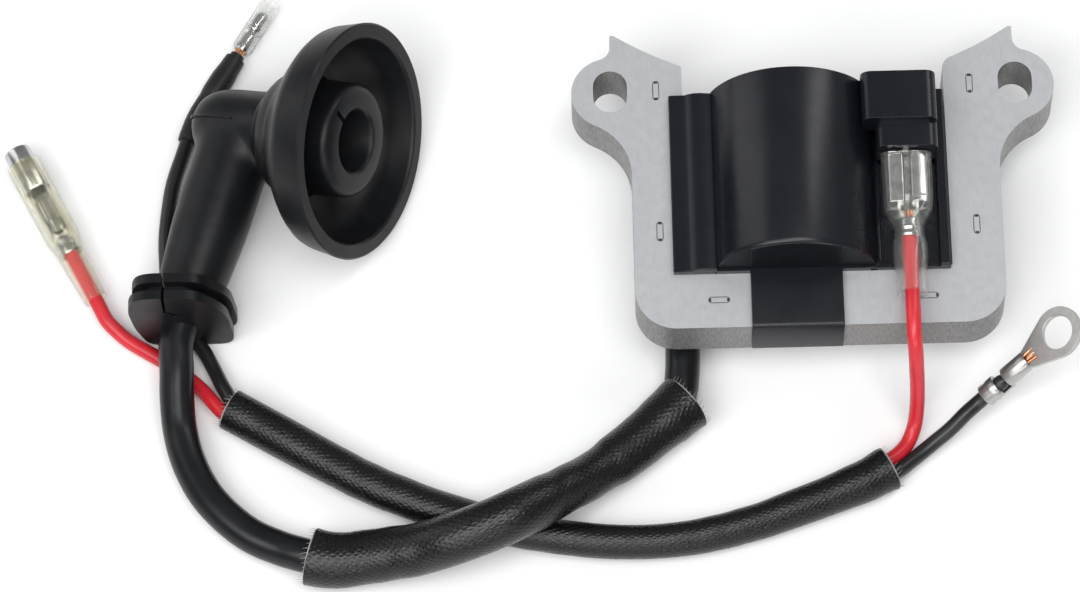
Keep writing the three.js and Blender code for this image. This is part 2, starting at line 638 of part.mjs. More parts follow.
// Flat ring for an M5 screw, with its barrel, drawn flat and then rolled about the barrel's axis.
function ringTerminal() {
  const ringRadius = 4;
  const holeRadius = 2.65;
  const ringAt = 15.6;
  const sheet = 0.8;
  const tangentTurn = 115;
  const outline = new THREE.Shape([
    new THREE.Vector2(8.6, -1.6), ...arc(ringAt, 0, ringRadius, -tangentTurn, tangentTurn, 18),
    new THREE.Vector2(8.6, 1.6),
  ]);
  outline.holes.push(new THREE.Path(arc(ringAt, 0, holeRadius, 0, 340, 17)));
  const flat = new THREE.ExtrudeGeometry(outline, { depth: sheet, bevelEnabled: false });
  flat.translate(0, 0, -sheet / 2);
  const along = new THREE.Vector3(1, 0, 0);
  const origin = new THREE.Vector3();
  const barrel = turned([[0.2, 0], [0.2, 1.75], [3, 1.75], [3.6, 1.2], [4.6, 1.2], [4.8, 1.6], [9.2, 1.6], [9.2, 0]],
    origin, along, 14);
  const wireRoom = turned([[-1, 0], [-1, wireRadius + 0.2], [2.4, wireRadius + 0.2], [2.4, 0]], origin, along, 14);
  const piece = mesh('ground_ring_terminal', combine([flat, barrel], [wireRoom]), tinPlate());
  piece.position.copy(ringTail);
  const heading = Math.atan2(ringDirection.y, ringDirection.x);
  piece.rotation.set(degrees(ringRoll), -Math.asin(ringDirection.z), heading, 'ZYX');
  return piece;
}

function wiresAndSleeves() {
  const leadSleeve = new Stretch(leadCurve, leadSleeveStart, leadSleeveEnd);
  return [
    mesh('plug_lead', tube(leadCurve, leadRadius, 10, leadStep), blackRubber()),
    mesh('plug_lead_sleeve', tube(leadSleeve, leadSleeveOuter, 10, leadStep, leadSleeveInner),
      finish(0x17181a, 0.35, 0)),
    mesh('stop_wire', tube(stopWireCurve, wireRadius, 8, wireStep), finish(0xb8202a, 0.4, 0)),
    mesh('ground_wire', tube(groundWireCurve, wireRadius, 8, wireStep), blackRubber()),
    mesh('harness_sleeve', tube(harnessCurve, harnessOuter, 8, leadStep, harnessInner), finish(0x1a1b1c, 0.3, 0)),
  ];
}

// ---------------------------------------------------------------- rubber grommet on the lead

function leadGrommet() {
  const nearFace = -18;
  const farFace = -13.7;
  const flange = 1.5;
  const farFlangeShift = 0.55;
  const outline = [[-102.4, 0.3], [-90.2, 0.3], [-89.3, 2.6], [-90.1, 11.3], [-94.6, 17.4], [-102.6, 17.5],
    [-104.4, 16], [-105, 12.6], [-104.2, 6]];
  const middle = new THREE.Vector2(-97.2, 8.6);
  const shapeScaled = (scale) => new THREE.Shape(outline.map(([x, z]) => (
    new THREE.Vector2(middle.x + (x - middle.x) * scale, middle.y + (z - middle.y) * scale))));
  const added = [
    drawnAlongY(shapeScaled(1), nearFace, nearFace + flange),
    drawnAlongY(shapeScaled(0.78), nearFace, farFace),
    drawnAlongY(shapeScaled(1), farFace - flange, farFace).translate(farFlangeShift, 0, 0),
  ];
  const leadLine = new THREE.LineCurve3(new THREE.Vector3(...onArm(25)), new THREE.Vector3(...onArm(38)));
  const wireStretch = curveThrough([[-93.3, -21.3, 1.4], [-94.1, -19.7, 1.3], [-96.3, -16.8, 1.3],
    [-98.0, -14.6, 1.3], [-99.1, -11.7, 1.3], [-99.4, -10.3, 1.3]]);
  const removed = [tube(leadLine, leadRadius + gap, 16, 13), tube(wireStretch, wireRadius + 0.45, 12, 1.2)];
  return mesh('lead_grommet', combine(added, removed), blackRubber());
}

// ---------------------------------------------------------------- plug boot

// Everything here is in the boot's own frame: +X out of the mouth, the arm close to -Y.
function plugBoot() {
  const mouth = new THREE.Vector3(1, 0, 0);
  const origin = new THREE.Vector3();
  const bell = turned([[-6.2, 0], [-5.9, 2.6], [-4.7, 4.4], [-2.7, 5.6], [0, 6], [5.4, 6.2], [8.2, 6.5],
    [9.2, 8.3], [10.4, 9.3], [12.4, 9.9], [14.5, 12.9], [16.3, 15.1], [18.3, 17.1], [20.6, 17.7],
    [mouthDistance, mouthRadius], [mouthDistance, 0]], origin, mouth, 28);
  const armStart = new THREE.Vector3(armShift, 0, 0);
  const armAlong = armInBoot.clone().multiplyScalar(armEnd).sub(armStart).normalize();
  const arm = turned([[0, 0], [0, 6], [14, 6], [21, 5.6], [armEnd, 5], [armEnd, 0]], armStart, armAlong, 20);
  const recess = turned([[14.4, 8.8], [14.6, 10.4], [17.4, 13.8], [19.2, 15.3], [mouthDistance + 1, mouthInner],
    [mouthDistance + 1, 0], [mouthDistance - 0.8, 0], [mouthDistance - 0.8, 7.9], [mouthDistance - 1.7, 8.8],
    [14.4, 8.8]], origin, mouth, 28);
  const plugBore = turned([[1, 0], [1, 3.4], [4, 3.6], [6, 5], [mouthDistance, 5], [mouthDistance, 0]],
    origin, mouth, 20);
  const leadBore = turned([[0, 0], [0, leadRadius + gap], [armEnd + 1, leadRadius + gap], [armEnd + 1, 0]],
    origin, armInBoot, 16);
  return mesh('plug_boot', combine([bell, arm], [recess, plugBore, leadBore]), blackRubber());
}

class Helix extends THREE.Curve {
  constructor(radius, start, end, turns) {
    super();
    Object.assign(this, { radius, start, end, turns });
  }

  getPoint(t, target = new THREE.Vector3()) {
    const angle = 2 * Math.PI * this.turns * t;
    const along = this.start + (this.end - this.start) * t;
    return target.set(along, this.radius * Math.cos(angle), this.radius * Math.sin(angle));
  }
}

// Coiled clip that grips the plug's terminal, and the spike on it that pierces the lead's core.
function plugContacts() {
  const clip = new Helix(3.9, 7.2, 14.2, 4);
  const spike = turned([[2.5, 0], [2.5, 0.5], [10.6, 0.5], [11.5, 0.15], [11.5, 0]], new THREE.Vector3(),
    armInBoot, 8);
  return [
    mesh('plug_terminal_clip', tube(clip, 0.45, 6, 3), tinPlate()),
    mesh('lead_spike', spike, tinPlate()),
  ];
}

function plugBootGroup() {
  const group = new THREE.Group();
  group.position.copy(bootOrigin);
  group.setRotationFromEuler(bootRotation);
  group.add(plugBoot(), ...plugContacts());
  return group;
}

// ---------------------------------------------------------------- whole coil

const ignitionCoil = new THREE.Group();
ignitionCoil.add(
  ...coreLaminations(), coilCase(), pottingResin(), primaryBobbin(), primaryWinding(), secondaryBobbin(),
  ...secondaryWindings(), ...electronics(), stopBlade(), leadContact(), pushOnConnector(), pushOnSleeve(),
  wireSocket(), wireSocketCover(), wireBullet(), wireBulletCover(), shrinkTube(), ringTerminal(),
  ...wiresAndSleeves(), leadGrommet(), plugBootGroup(),
);

export default ignitionCoil;
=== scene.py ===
"""Ignition coil with its plug lead and stop harness. Metres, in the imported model's frame."""

import json
import math

import bmesh
import bpy
from mathutils import Matrix, Vector


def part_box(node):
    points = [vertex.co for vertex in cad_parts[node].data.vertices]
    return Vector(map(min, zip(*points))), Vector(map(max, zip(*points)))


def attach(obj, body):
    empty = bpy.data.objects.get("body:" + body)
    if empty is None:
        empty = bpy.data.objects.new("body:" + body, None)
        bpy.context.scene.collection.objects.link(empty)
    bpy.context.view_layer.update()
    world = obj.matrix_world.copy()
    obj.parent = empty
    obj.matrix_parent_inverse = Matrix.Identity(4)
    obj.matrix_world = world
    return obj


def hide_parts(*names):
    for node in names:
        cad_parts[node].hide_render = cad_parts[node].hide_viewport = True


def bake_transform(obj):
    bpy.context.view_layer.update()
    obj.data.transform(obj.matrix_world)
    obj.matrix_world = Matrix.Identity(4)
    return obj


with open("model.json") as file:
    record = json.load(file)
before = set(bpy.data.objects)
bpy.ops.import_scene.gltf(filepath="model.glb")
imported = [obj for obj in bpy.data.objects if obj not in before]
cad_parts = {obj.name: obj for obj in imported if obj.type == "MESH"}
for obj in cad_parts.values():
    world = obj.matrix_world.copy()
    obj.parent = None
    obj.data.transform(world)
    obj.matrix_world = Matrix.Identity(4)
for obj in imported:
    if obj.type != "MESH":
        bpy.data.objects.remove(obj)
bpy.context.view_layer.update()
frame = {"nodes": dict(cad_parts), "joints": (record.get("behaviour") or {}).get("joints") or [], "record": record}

MM = 0.001
joints = {joint["name"]: joint for joint in frame["joints"]}
mounts = {mount["name"]: mount for mount in frame["record"]["mounts"]}

# ------------------------------------------------------------------ node materials


class Surface:
    """A Principled material with small helpers for procedural detail."""

    def __init__(self, name, colour, roughness, metallic=0.0, **sockets):
        self.material = bpy.data.materials.new(name)
        self.material.use_nodes = True
        self.tree = self.material.node_tree
        self.shader = self.tree.nodes["Principled BSDF"]
        self.shader.inputs["Base Color"].default_value = (*colour, 1)
        self.shader.inputs["Roughness"].default_value = roughness
        self.shader.inputs["Metallic"].default_value = metallic
        for socket, value in sockets.items():
            self.shader.inputs[socket.replace("_", " ")].default_value = value
        self.bump_input = None

    def node(self, kind, **settings):
        made = self.tree.nodes.new(kind)
        for key, value in settings.items():
            setattr(made, key, value)
        return made

    def link(self, output, target):
        self.tree.links.new(output, target)

    def noise(self, size, detail=4.0, stretch=(1, 1, 1)):
        """Noise whose features are about size metres across."""
        coordinates = self.node("ShaderNodeTexCoord")
        mapping = self.node("ShaderNodeMapping")
        mapping.inputs["Scale"].default_value = stretch
        texture = self.node("ShaderNodeTexNoise")
        texture.inputs["Scale"].default_value = 1 / size
        texture.inputs["Detail"].default_value = detail
        self.link(coordinates.outputs["Object"], mapping.inputs["Vector"])
        self.link(mapping.outputs["Vector"], texture.inputs["Vector"])
        return texture.outputs["Fac"]

    def ramp(self, factor, low, high, start=0.35, end=0.65):
        ramp = self.node("ShaderNodeValToRGB")
        first, last = ramp.color_ramp.elements
        first.position, last.position = start, end
        first.color, last.color = (*low, 1), (*high, 1)
        self.link(factor, ramp.inputs["Fac"])
        return ramp.outputs["Color"]

    def spread(self, factor, low, high):
        spread = self.node("ShaderNodeMapRange")
        spread.inputs["From Min"].default_value = 0.3
        spread.inputs["From Max"].default_value = 0.7
        spread.inputs["To Min"].default_value = low
        spread.inputs["To Max"].default_value = high
        self.link(factor, spread.inputs["Value"])
        return spread.outputs["Result"]

    def mottle(self, low, high, size, **kind):
        self.link(self.ramp(self.noise(size, **kind), low, high), self.shader.inputs["Base Color"])
        return self

    def uneven_gloss(self, low, high, size, **kind):
        self.link(self.spread(self.noise(size, **kind), low, high), self.shader.inputs["Roughness"])
        return self

    def bump(self, height, distance, strength=1.0):
        bump = self.node("ShaderNodeBump")
        bump.inputs["Distance"].default_value = distance
        bump.inputs["Strength"].default_value = strength
        self.link(height, bump.inputs["Height"])
        if self.bump_input is not None:
            self.link(self.bump_input, bump.inputs["Normal"])
        self.bump_input = bump.outputs["Normal"]
        self.link(self.bump_input, self.shader.inputs["Normal"])
        return self

    def grain(self, size, distance, strength=0.5, **kind):
        return self.bump(self.noise(size, **kind), distance, strength)

    def compute(self, operation, first, second=0.0):
        made = self.node("ShaderNodeMath", operation=operation)
        for socket, value in zip(made.inputs, (first, second)):
            if isinstance(value, (int, float)):
                socket.default_value = value
            else:
                self.link(value, socket)
        return made.outputs[0]

    def strands(self, around, pitch):
        """Two families of strands that cross on a tube's own coordinates."""
        uv = self.node("ShaderNodeUVMap", uv_map="along")
        parts = self.node("ShaderNodeSeparateXYZ")
        self.link(uv.outputs["UV"], parts.inputs["Vector"])
        turn = self.compute("MULTIPLY", parts.outputs["X"], 2 * math.pi * around)
        run = self.compute("MULTIPLY", parts.outputs["Y"], 2 * math.pi / pitch)
        one = self.compute("SINE", self.compute("ADD", turn, run))
        other = self.compute("SINE", self.compute("SUBTRACT", turn, run))
        return self.compute("MULTIPLY", one, other), self.compute("MAXIMUM", one, other)


def make_core_steel():
    surface = Surface("core_steel", (0.53, 0.54, 0.55), 0.45, 0.35)
    # Level faces take the light steel colour and the side faces a darker streaked one, picked by which way each
    # face looks. The sides' darkness is painted shade; their vertical streaks are the sheet edges' own grain.
    face = surface.ramp(surface.noise(0.0009, 5, (3, 0.8, 1)), (0.47, 0.48, 0.495), (0.50, 0.51, 0.525))
    edge = surface.ramp(
        surface.noise(0.0007, 4, (3, 3, 0.5)), (0.13, 0.127, 0.124), (0.25, 0.246, 0.242), 0.3, 0.7
    )
    geometry = surface.node("ShaderNodeNewGeometry")
    split = surface.node("ShaderNodeSeparateXYZ")
    surface.link(geometry.outputs["Normal"], split.inputs["Vector"])
    flat = surface.compute("GREATER_THAN", surface.compute("ABSOLUTE", split.outputs["Z"]), 0.6)
    painted_side_shade = surface.node("ShaderNodeMix", data_type="RGBA")
    surface.link(flat, painted_side_shade.inputs["Factor"])
    surface.link(edge, painted_side_shade.inputs["A"])
    surface.link(face, painted_side_shade.inputs["B"])
    surface.link(painted_side_shade.outputs["Result"], surface.shader.inputs["Base Color"])
    surface.uneven_gloss(0.34, 0.46, 0.0012)
    surface.grain(0.0003, 0.00001, 0.4, detail=4)
    return surface.material


def make_plastic(name, dark, light, roughness, specular=0.5):
    surface = Surface(name, dark, roughness, 0.0, Specular_IOR_Level=specular)
    surface.mottle(dark, light, 0.006)
    surface.uneven_gloss(roughness * 0.92, roughness * 1.08, 0.004)
    surface.grain(0.0015, 0.000004, 0.3, detail=1)
    return surface.material


def make_rubber(name, dark, light, roughness, specular=0.35):
    surface = Surface(name, dark, roughness, 0.0, Specular_IOR_Level=specular)
    surface.mottle(dark, light, 0.003, detail=6)
    surface.uneven_gloss(roughness * 0.85, roughness * 1.15, 0.005)
    surface.grain(0.0005, 0.00001, 0.35, detail=3)
    return surface.material


def make_metal(name, dark, light, roughness, streaks=(1, 1, 1)):
    surface = Surface(name, light, roughness, 1.0)
    surface.mottle(dark, light, 0.0015, stretch=streaks)
    surface.uneven_gloss(roughness * 0.85, roughness * 1.15, 0.0012, stretch=streaks)
    surface.grain(0.0004, 0.000003, 0.3)
    return surface.material


def make_braid(name, around, pitch):
    """Varnished braid: a fine weave, with bright specks where single threads catch the light."""
    surface = Surface(name, (0.005, 0.005, 0.006), 0.25, Specular_IOR_Level=0.4)
    weave, height = surface.strands(around, pitch)
    surface.link(
        surface.ramp(weave, (0.003, 0.003, 0.0035), (0.008, 0.0083, 0.009), 0.2, 0.9),
        surface.shader.inputs["Base Color"],
    )
    surface.bump(height, 0.00003, 0.6)
    surface.grain(0.0003, 0.00006, 0.8, detail=2)
    surface.uneven_gloss(0.14, 0.4, 0.0006)
    return surface.material


def make_clear(name, tint, stain, alpha):
    surface = Surface(
        name, tint, 0.05, Transmission_Weight=0.92, IOR=1.2, Alpha=alpha, Coat_Weight=0.6, Coat_Roughness=0.04
    )
    surface.mottle(stain, tint, 0.009)
    return surface.material


def make_copper():
    surface = Surface("copper_wire", (0.72, 0.32, 0.16), 0.3, 1.0)
    surface.mottle((0.55, 0.22, 0.1), (0.85, 0.42, 0.24), 0.0006)
    surface.grain(0.0003, 0.00004, 0.6, stretch=(1, 1, 4))
    return surface.material


MATERIALS = {
    "core_steel": make_core_steel(),
    "case_plastic": make_plastic(
        "case_plastic", (0.0050, 0.0057, 0.0090), (0.0068, 0.0075, 0.0112), 0.28, 0.36
    ),
    # A darker, less glossy copy of the case plastic for the faces that look to the front: painted shade.
    "case_front_shade": make_plastic("case_front_shade", (0.0045, 0.0050, 0.0075), (0.006, 0.0066, 0.0095), 0.5, 0.1),
    "resin": make_plastic("resin", (0.02, 0.013, 0.009), (0.035, 0.024, 0.016), 0.2),
    "bobbin_plastic": make_plastic("bobbin_plastic", (0.62, 0.58, 0.48), (0.7, 0.66, 0.56), 0.45),
    "copper_wire": make_copper(),
    "board": make_plastic("board", (0.03, 0.14, 0.06), (0.05, 0.2, 0.09), 0.4),
    "component_black": make_plastic("component_black", (0.012, 0.012, 0.012), (0.02, 0.02, 0.02), 0.5),
    "component_tan": make_plastic("component_tan", (0.45, 0.36, 0.22), (0.55, 0.45, 0.3), 0.35),
    "tin_plate": make_metal("tin_plate", (0.46, 0.455, 0.445), (0.62, 0.61, 0.60), 0.22),
    "ring_plate": make_metal("ring_plate", (0.40, 0.395, 0.38), (0.47, 0.46, 0.445), 0.34),
    "brass_pin": make_metal("brass_pin", (0.5, 0.36, 0.14), (0.66, 0.5, 0.24), 0.3),
    # Dark steel for the clinch marks' grooves, standing in for the shade inside them: painted shade.
    "clinch_groove_shade": make_metal("clinch_groove_shade", (0.05, 0.05, 0.05), (0.14, 0.14, 0.14), 0.5),
    "spring_steel": make_metal("spring_steel", (0.38, 0.38, 0.38), (0.55, 0.55, 0.55), 0.3),
    "lead_rubber": make_rubber("lead_rubber", (0.005, 0.0055, 0.0068), (0.007, 0.0075, 0.009), 0.32, 0.3),
    "boot_rubber": make_rubber("boot_rubber", (0.0050, 0.0054, 0.0064), (0.0072, 0.0077, 0.009), 0.38, 0.24),
    "wire_red": make_plastic("wire_red", (0.50, 0.012, 0.022), (0.60, 0.022, 0.034), 0.33),
    "wire_black": make_plastic("wire_black", (0.009, 0.0095, 0.0105), (0.014, 0.0145, 0.016), 0.33),
    "sleeve_black": make_braid("sleeve_black", 26, 0.0013),
    "lead_braid": make_braid("lead_braid", 30, 0.0013),
    "cut_fibre": make_plastic("cut_fibre", (0.16, 0.155, 0.15), (0.34, 0.33, 0.31), 0.6),
    "shrink_tube": make_rubber("shrink_tube", (0.009, 0.0092, 0.0098), (0.014, 0.0142, 0.015), 0.42),
    "clear_vinyl": make_clear("clear_vinyl", (0.95, 0.96, 0.93), (0.90, 0.92, 0.88), 0.4),
    "yellowed_vinyl": make_clear("yellowed_vinyl", (0.95, 0.94, 0.84), (0.93, 0.90, 0.60), 0.42),
}

# ------------------------------------------------------------------ mesh helpers


def shade(mesh, smooth_angle):
    """Shades a bmesh smooth, with edges sharper than smooth_angle degrees kept crisp."""
    limit = math.radians(smooth_angle)
    for face in mesh.faces:
        face.smooth = True
    for edge in mesh.edges:
        edge.smooth = len(edge.link_faces) == 2 and edge.calc_face_angle(0) < limit


def publish(name, mesh, look, body, smooth_angle=35):
    """Makes an object of a bmesh and puts it on a body."""
    bmesh.ops.recalc_face_normals(mesh, faces=mesh.faces)
    shade(mesh, smooth_angle)
    data = bpy.data.meshes.new(name)
    mesh.to_mesh(data)
    mesh.free()
    data.materials.append(MATERIALS[look])
    piece = bpy.data.objects.new(name, data)
    bpy.context.scene.collection.objects.link(piece)
    if body:
        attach(piece, body)
    return piece


def soften(piece, width, segments=3, angle=40):
    """Rounds a piece's edges."""
    bevel = piece.modifiers.new("edge_round", "BEVEL")
    bevel.width = width
    bevel.segments = segments
    bevel.limit_method = "ANGLE"
    bevel.angle_limit = math.radians(angle)
    bevel.harden_normals = True
    return piece


def arc(x, y, radius, start, end, steps):
    angles = [math.radians(start + (end - start) * i / steps) for i in range(steps + 1)]
    return [(x + radius * math.cos(a), y + radius * math.sin(a)) for a in angles]


def rounded_rectangle(x, y, width, height, radius, steps=5):
    dx, dy = width / 2 - radius, height / 2 - radius
    corners = ((dx, dy, 0), (-dx, dy, 90), (-dx, -dy, 180), (dx, -dy, 270))
    return [
        point for cx, cy, start in corners for point in arc(x + cx, y + cy, radius, start, start + 90, steps)
    ]


def prism(mesh, outline, place, low, high, holes=()):
    """Adds an extruded outline to mesh; place(u, v, w) gives each corner's position."""
    flat = bmesh.new()
    edges = []
    for loop in (outline, *holes):
        corners = [flat.verts.new((u, v, 0)) for u, v in loop]
        edges += [flat.edges.new((a, b)) for a, b in zip(corners, corners[1:] + corners[:1])]
    bmesh.ops.triangle_fill(flat, use_beauty=True, use_dissolve=False, edges=edges)
    flat.verts.index_update()
    bottom = [mesh.verts.new(place(v.co.x, v.co.y, low)) for v in flat.verts]
    top = [mesh.verts.new(place(v.co.x, v.co.y, high)) for v in flat.verts]
    for face in flat.faces:
        mesh.faces.new([bottom[v.index] for v in face.verts])
        mesh.faces.new([top[v.index] for v in reversed(face.verts)])
    for edge in flat.edges:
        if len(edge.link_faces) == 1:
            a, b = (v.index for v in edge.verts)
            mesh.faces.new((bottom[a], bottom[b], top[b], top[a]))
    flat.free()


def upright(u, v, w):
    return Vector((u, v, w)) * MM


def along_y(u, v, w):
    return Vector((u, w, v)) * MM


def box(mesh, x0, x1, y0, y1, z0, z1):
    prism(mesh, [(x0, y0), (x1, y0), (x1, y1), (x0, y1)], upright, z0, z1)


def lathe(mesh, profile, matrix, sides):
    """Turns a closed or axis-ending profile of (along, radius) about the matrix's X axis."""
    rings = []
    for along, radius in profile:
        if radius < 1e-6:
            rings.append([mesh.verts.new(matrix @ Vector((along * MM, 0, 0)))])
            continue
        rings.append([
            mesh.verts.new(matrix @ (Vector((
                along, radius * math.cos(2 * math.pi * i / sides), radius * math.sin(2 * math.pi * i / sides),
            )) * MM))
            for i in range(sides)
        ])
    for first, second in zip(rings, rings[1:]):
        for i in range(sides):
            j = (i + 1) % sides
            corners = [ring[k % len(ring)] for ring, k in ((first, i), (first, j), (second, j), (second, i))]
            unique = list(dict.fromkeys(corners))
            if len(unique) > 2:
                mesh.faces.new(unique)


def turned(name, profiles, matrix, sides, look, body, smooth_angle=35):
    """A piece made of one or more turned profiles."""
    mesh = bmesh.new()
    for profile in profiles:
        lathe(mesh, profile, matrix, sides)
    return publish(name, mesh, look, body, smooth_angle)


def facing_y(x, y, z):
    """A matrix at a place in mm whose X axis is the world's Y axis."""
    return Matrix.Translation(Vector((x, y, z)) * MM) @ Matrix.Rotation(math.pi / 2, 4, "Z")


def frame_on(origin, x_axis, up=(0, 0, 1)):
    """A matrix at origin whose X axis is x_axis and whose Z axis leans towards up."""
    x = Vector(x_axis).normalized()
    y = Vector(up).cross(x).normalized()
    z = x.cross(y)
    return Matrix.Translation(origin) @ Matrix((x, y, z)).transposed().to_4x4()


# ------------------------------------------------------------------ curves and tubes


PATH_STEP = 0.0008


def spline(points):
    """A centripetal Catmull-Rom curve through the points, sampled at even steps."""
    knots = [Vector(point) for point in points]
    knots = [2 * knots[0] - knots[1], *knots, 2 * knots[-1] - knots[-2]]
    fine = []
    for p0, p1, p2, p3 in zip(knots, knots[1:], knots[2:], knots[3:]):
        d0, d1, d2 = ((b - a).length ** 0.5 for a, b in ((p0, p1), (p1, p2), (p2, p3)))
        leave = ((p1 - p0) / d0 - (p2 - p0) / (d0 + d1) + (p2 - p1) / d1) * d1
        reach = ((p2 - p1) / d1 - (p3 - p1) / (d1 + d2) + (p3 - p2) / d2) * d1
        for i in range(24):
            t = i / 24
            fine.append(
                p1 * (2 * t**3 - 3 * t**2 + 1) + leave * (t**3 - 2 * t**2 + t)
                + p2 * (3 * t**2 - 2 * t**3) + reach * (t**3 - t**2)
            )
    fine.append(knots[-2])
    return resample(fine, PATH_STEP)


def resample(points, step):
    lengths = [0.0]
    for a, b in zip(points, points[1:]):
        lengths.append(lengths[-1] + (b - a).length)
    count = max(2, round(lengths[-1] / step))
    even, k = [], 0
    for i in range(count + 1):
        target = lengths[-1] * i / count
        while k < len(points) - 2 and lengths[k + 1] < target:
            k += 1
        span = lengths[k + 1] - lengths[k]
        even.append(points[k].lerp(points[k + 1], (target - lengths[k]) / span))
    return even


def length_of(path):
    return sum((b - a).length for a, b in zip(path, path[1:]))


def stretch(path, start, end):
    """The part of a path between two distances from its start."""
    travelled, part = 0.0, []
    for a, b in zip(path, path[1:]):
        if start <= travelled <= end:
            part.append(a)
        travelled += (b - a).length
    return part


def moving_frames(path):
    """Tangent and two normals at each point, with no twist."""
    tangents = [(b - a).normalized() for a, b in zip(path, path[1:])]
    tangents.append(tangents[-1])
    normal = tangents[0].cross(Vector((0, 0, 1)))
    if normal.length < 0.2:
        normal = tangents[0].cross(Vector((1, 0, 0)))
    frames = []
    for tangent in tangents:
        normal = (normal - tangent * normal.dot(tangent)).normalized()
        frames.append((tangent, normal, tangent.cross(normal)))
    return frames


def tube(name, path, radius, look, body, sides=24, bore=0.0, shape=None):
    """A tube along a path. shape(angle, distance) scales its radius; bore opens its ends."""
    mesh = bmesh.new()
    uv = mesh.loops.layers.uv.new("along")
    shape = shape or (lambda angle, distance: 1.0)
    frames = moving_frames(path)
    distances = [0.0]
    for a, b in zip(path, path[1:]):
        distances.append(distances[-1] + (b - a).length)

    def rings(size):
        made = []
        for point, (_, side, up), distance in zip(path, frames, distances):
            ring = []
            for i in range(sides):
                angle = 2 * math.pi * i / sides
                reach = size * shape(angle, distance)
                spot = point + (side * math.cos(angle) + up * math.sin(angle)) * reach
                spot.z = max(spot.z, 0.0)
                ring.append(mesh.verts.new(spot))
            made.append(ring)
        return made

    def skin(made):
        for k in range(len(made) - 1):
            for i in range(sides):
                j = (i + 1) % sides
                face = mesh.faces.new((made[k][i], made[k][j], made[k + 1][j], made[k + 1][i]))
                marks = ((i, k), (i + 1, k), (i + 1, k + 1), (i, k + 1))
                for loop, (turn, row) in zip(face.loops, marks):
                    loop[uv].uv = (turn / sides, distances[row])

    outer = rings(radius)
    skin(outer)
    if bore:
        inner = rings(bore)
        skin(inner)
        for end in (0, -1):
            for i in range(sides):
                j = (i + 1) % sides
                mesh.faces.new((outer[end][i], outer[end][j], inner[end][j], inner[end][i]))
    else:
        mesh.faces.new(outer[0])
        mesh.faces.new(outer[-1])
    return publish(name, mesh, look, body)


# ------------------------------------------------------------------ camera, floor and light


def make_camera():
    """A long lens that looks down at the coil's front."""
    elevation, heading, roll = math.radians(65.63), math.radians(0.84), math.radians(-2.15)
    distance = 0.90508
    target = Vector((-0.04239, -0.01859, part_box("core_lamination_12")[1][2]))
    turn = Matrix.Rotation(heading, 3, "Z")
    forward = turn @ Vector((0, math.cos(elevation), -math.sin(elevation)))
    up = turn @ Vector((0, math.sin(elevation), math.cos(elevation)))
    right = turn @ Vector((1, 0, 0))
    tilted_right = right * math.cos(roll) + up * math.sin(roll)
    tilted_up = up * math.cos(roll) - right * math.sin(roll)
    data = bpy.data.cameras.new("camera")
    data.lens = 200
    data.sensor_width = 36
    data.clip_end = 10
    camera = bpy.data.objects.new("camera", data)
    axes = Matrix((tilted_right, tilted_up, -forward)).transposed().to_4x4()
    camera.matrix_world = Matrix.Translation(target - forward * distance) @ axes
    bpy.context.scene.collection.objects.link(camera)
    bpy.context.scene.camera = camera


def make_floor():
    mesh = bmesh.new()
    half = 3.0
    places = ((-half, -half), (half, -half), (half, half), (-half, half))
    mesh.faces.new([mesh.verts.new((x, y, 0)) for x, y in places])
    data = bpy.data.meshes.new("floor")
    mesh.to_mesh(data)
    mesh.free()
    floor = bpy.data.objects.new("floor", data)
    bpy.context.scene.collection.objects.link(floor)
    data.materials.append(Surface("floor", (0.93, 0.93, 0.93), 0.75).material)


def make_light(name, place, target, size, power):
    data = bpy.data.lights.new(name, "AREA")
    data.shape = "RECTANGLE"
    data.size, data.size_y = size
    data.energy = power
    light = bpy.data.objects.new(name, data)
    light.location = place
    light.rotation_euler = (Vector(target) - Vector(place)).to_track_quat("-Z", "Y").to_euler()
    bpy.context.scene.collection.objects.link(light)


def make_studio():
    world = bpy.data.worlds.new("studio")
    world.use_nodes = True
    background = world.node_tree.nodes["Background"]
    background.inputs["Color"].default_value = (0.97, 0.985, 1, 1)
    background.inputs["Strength"].default_value = 0.3
    bpy.context.scene.world = world
    middle = (-0.04, -0.01, 0)
    lights = (
        ("front_key", (-0.45, -0.5, 0.8), (0.7, 0.5), 5),
        ("top_fill", (0.05, -0.28, 0.95), (0.6, 0.5), 4.5),
        ("left_soft", (-0.72, 0.28, 0.42), (0.35, 0.7), 1.0),
        ("front_low", (0, -0.9, 0.42), (0.9, 0.2), 2.4),
        ("right_strip", (0.48, 0.36, 0.66), (0.1, 0.6), 1.2),
    )
    for name, place, size, power in lights:
        make_light(name, place, middle, size, power)
    bpy.context.scene.view_settings.view_transform = "Standard"


make_camera()
make_floor()
make_studio()

# ------------------------------------------------------------------ routes of the leads, in metres

boot_joint = joints["plug_cap_swivel"]
boot_origin = Vector(boot_joint["pos_m"])
arm_axis = Vector(boot_joint["axis"]).normalized()
mouth_axis = Vector(mounts["plug_boot_mouth"]["axis"]).normalized()
socket_axis = -Vector(joints["socket_cover_slide"]["axis"]).normalized()
socket_tail = Vector((-0.1107, -0.0110, 0.0022))
bullet_start = Vector((-0.0886, 0.0313, 0.00175))
bullet_axis = Vector((0.505, 0.863, 0)).normalized()
ring_tail = Vector((0.0244, -0.0325, 0.0060))
ring_axis = Vector((0.712, 0.422, 0.562)).normalized()


def on_arm(distance):
    return tuple(boot_origin + arm_axis * distance * MM)


def beyond(start, direction, distance):
    return tuple(start + direction * distance * MM)


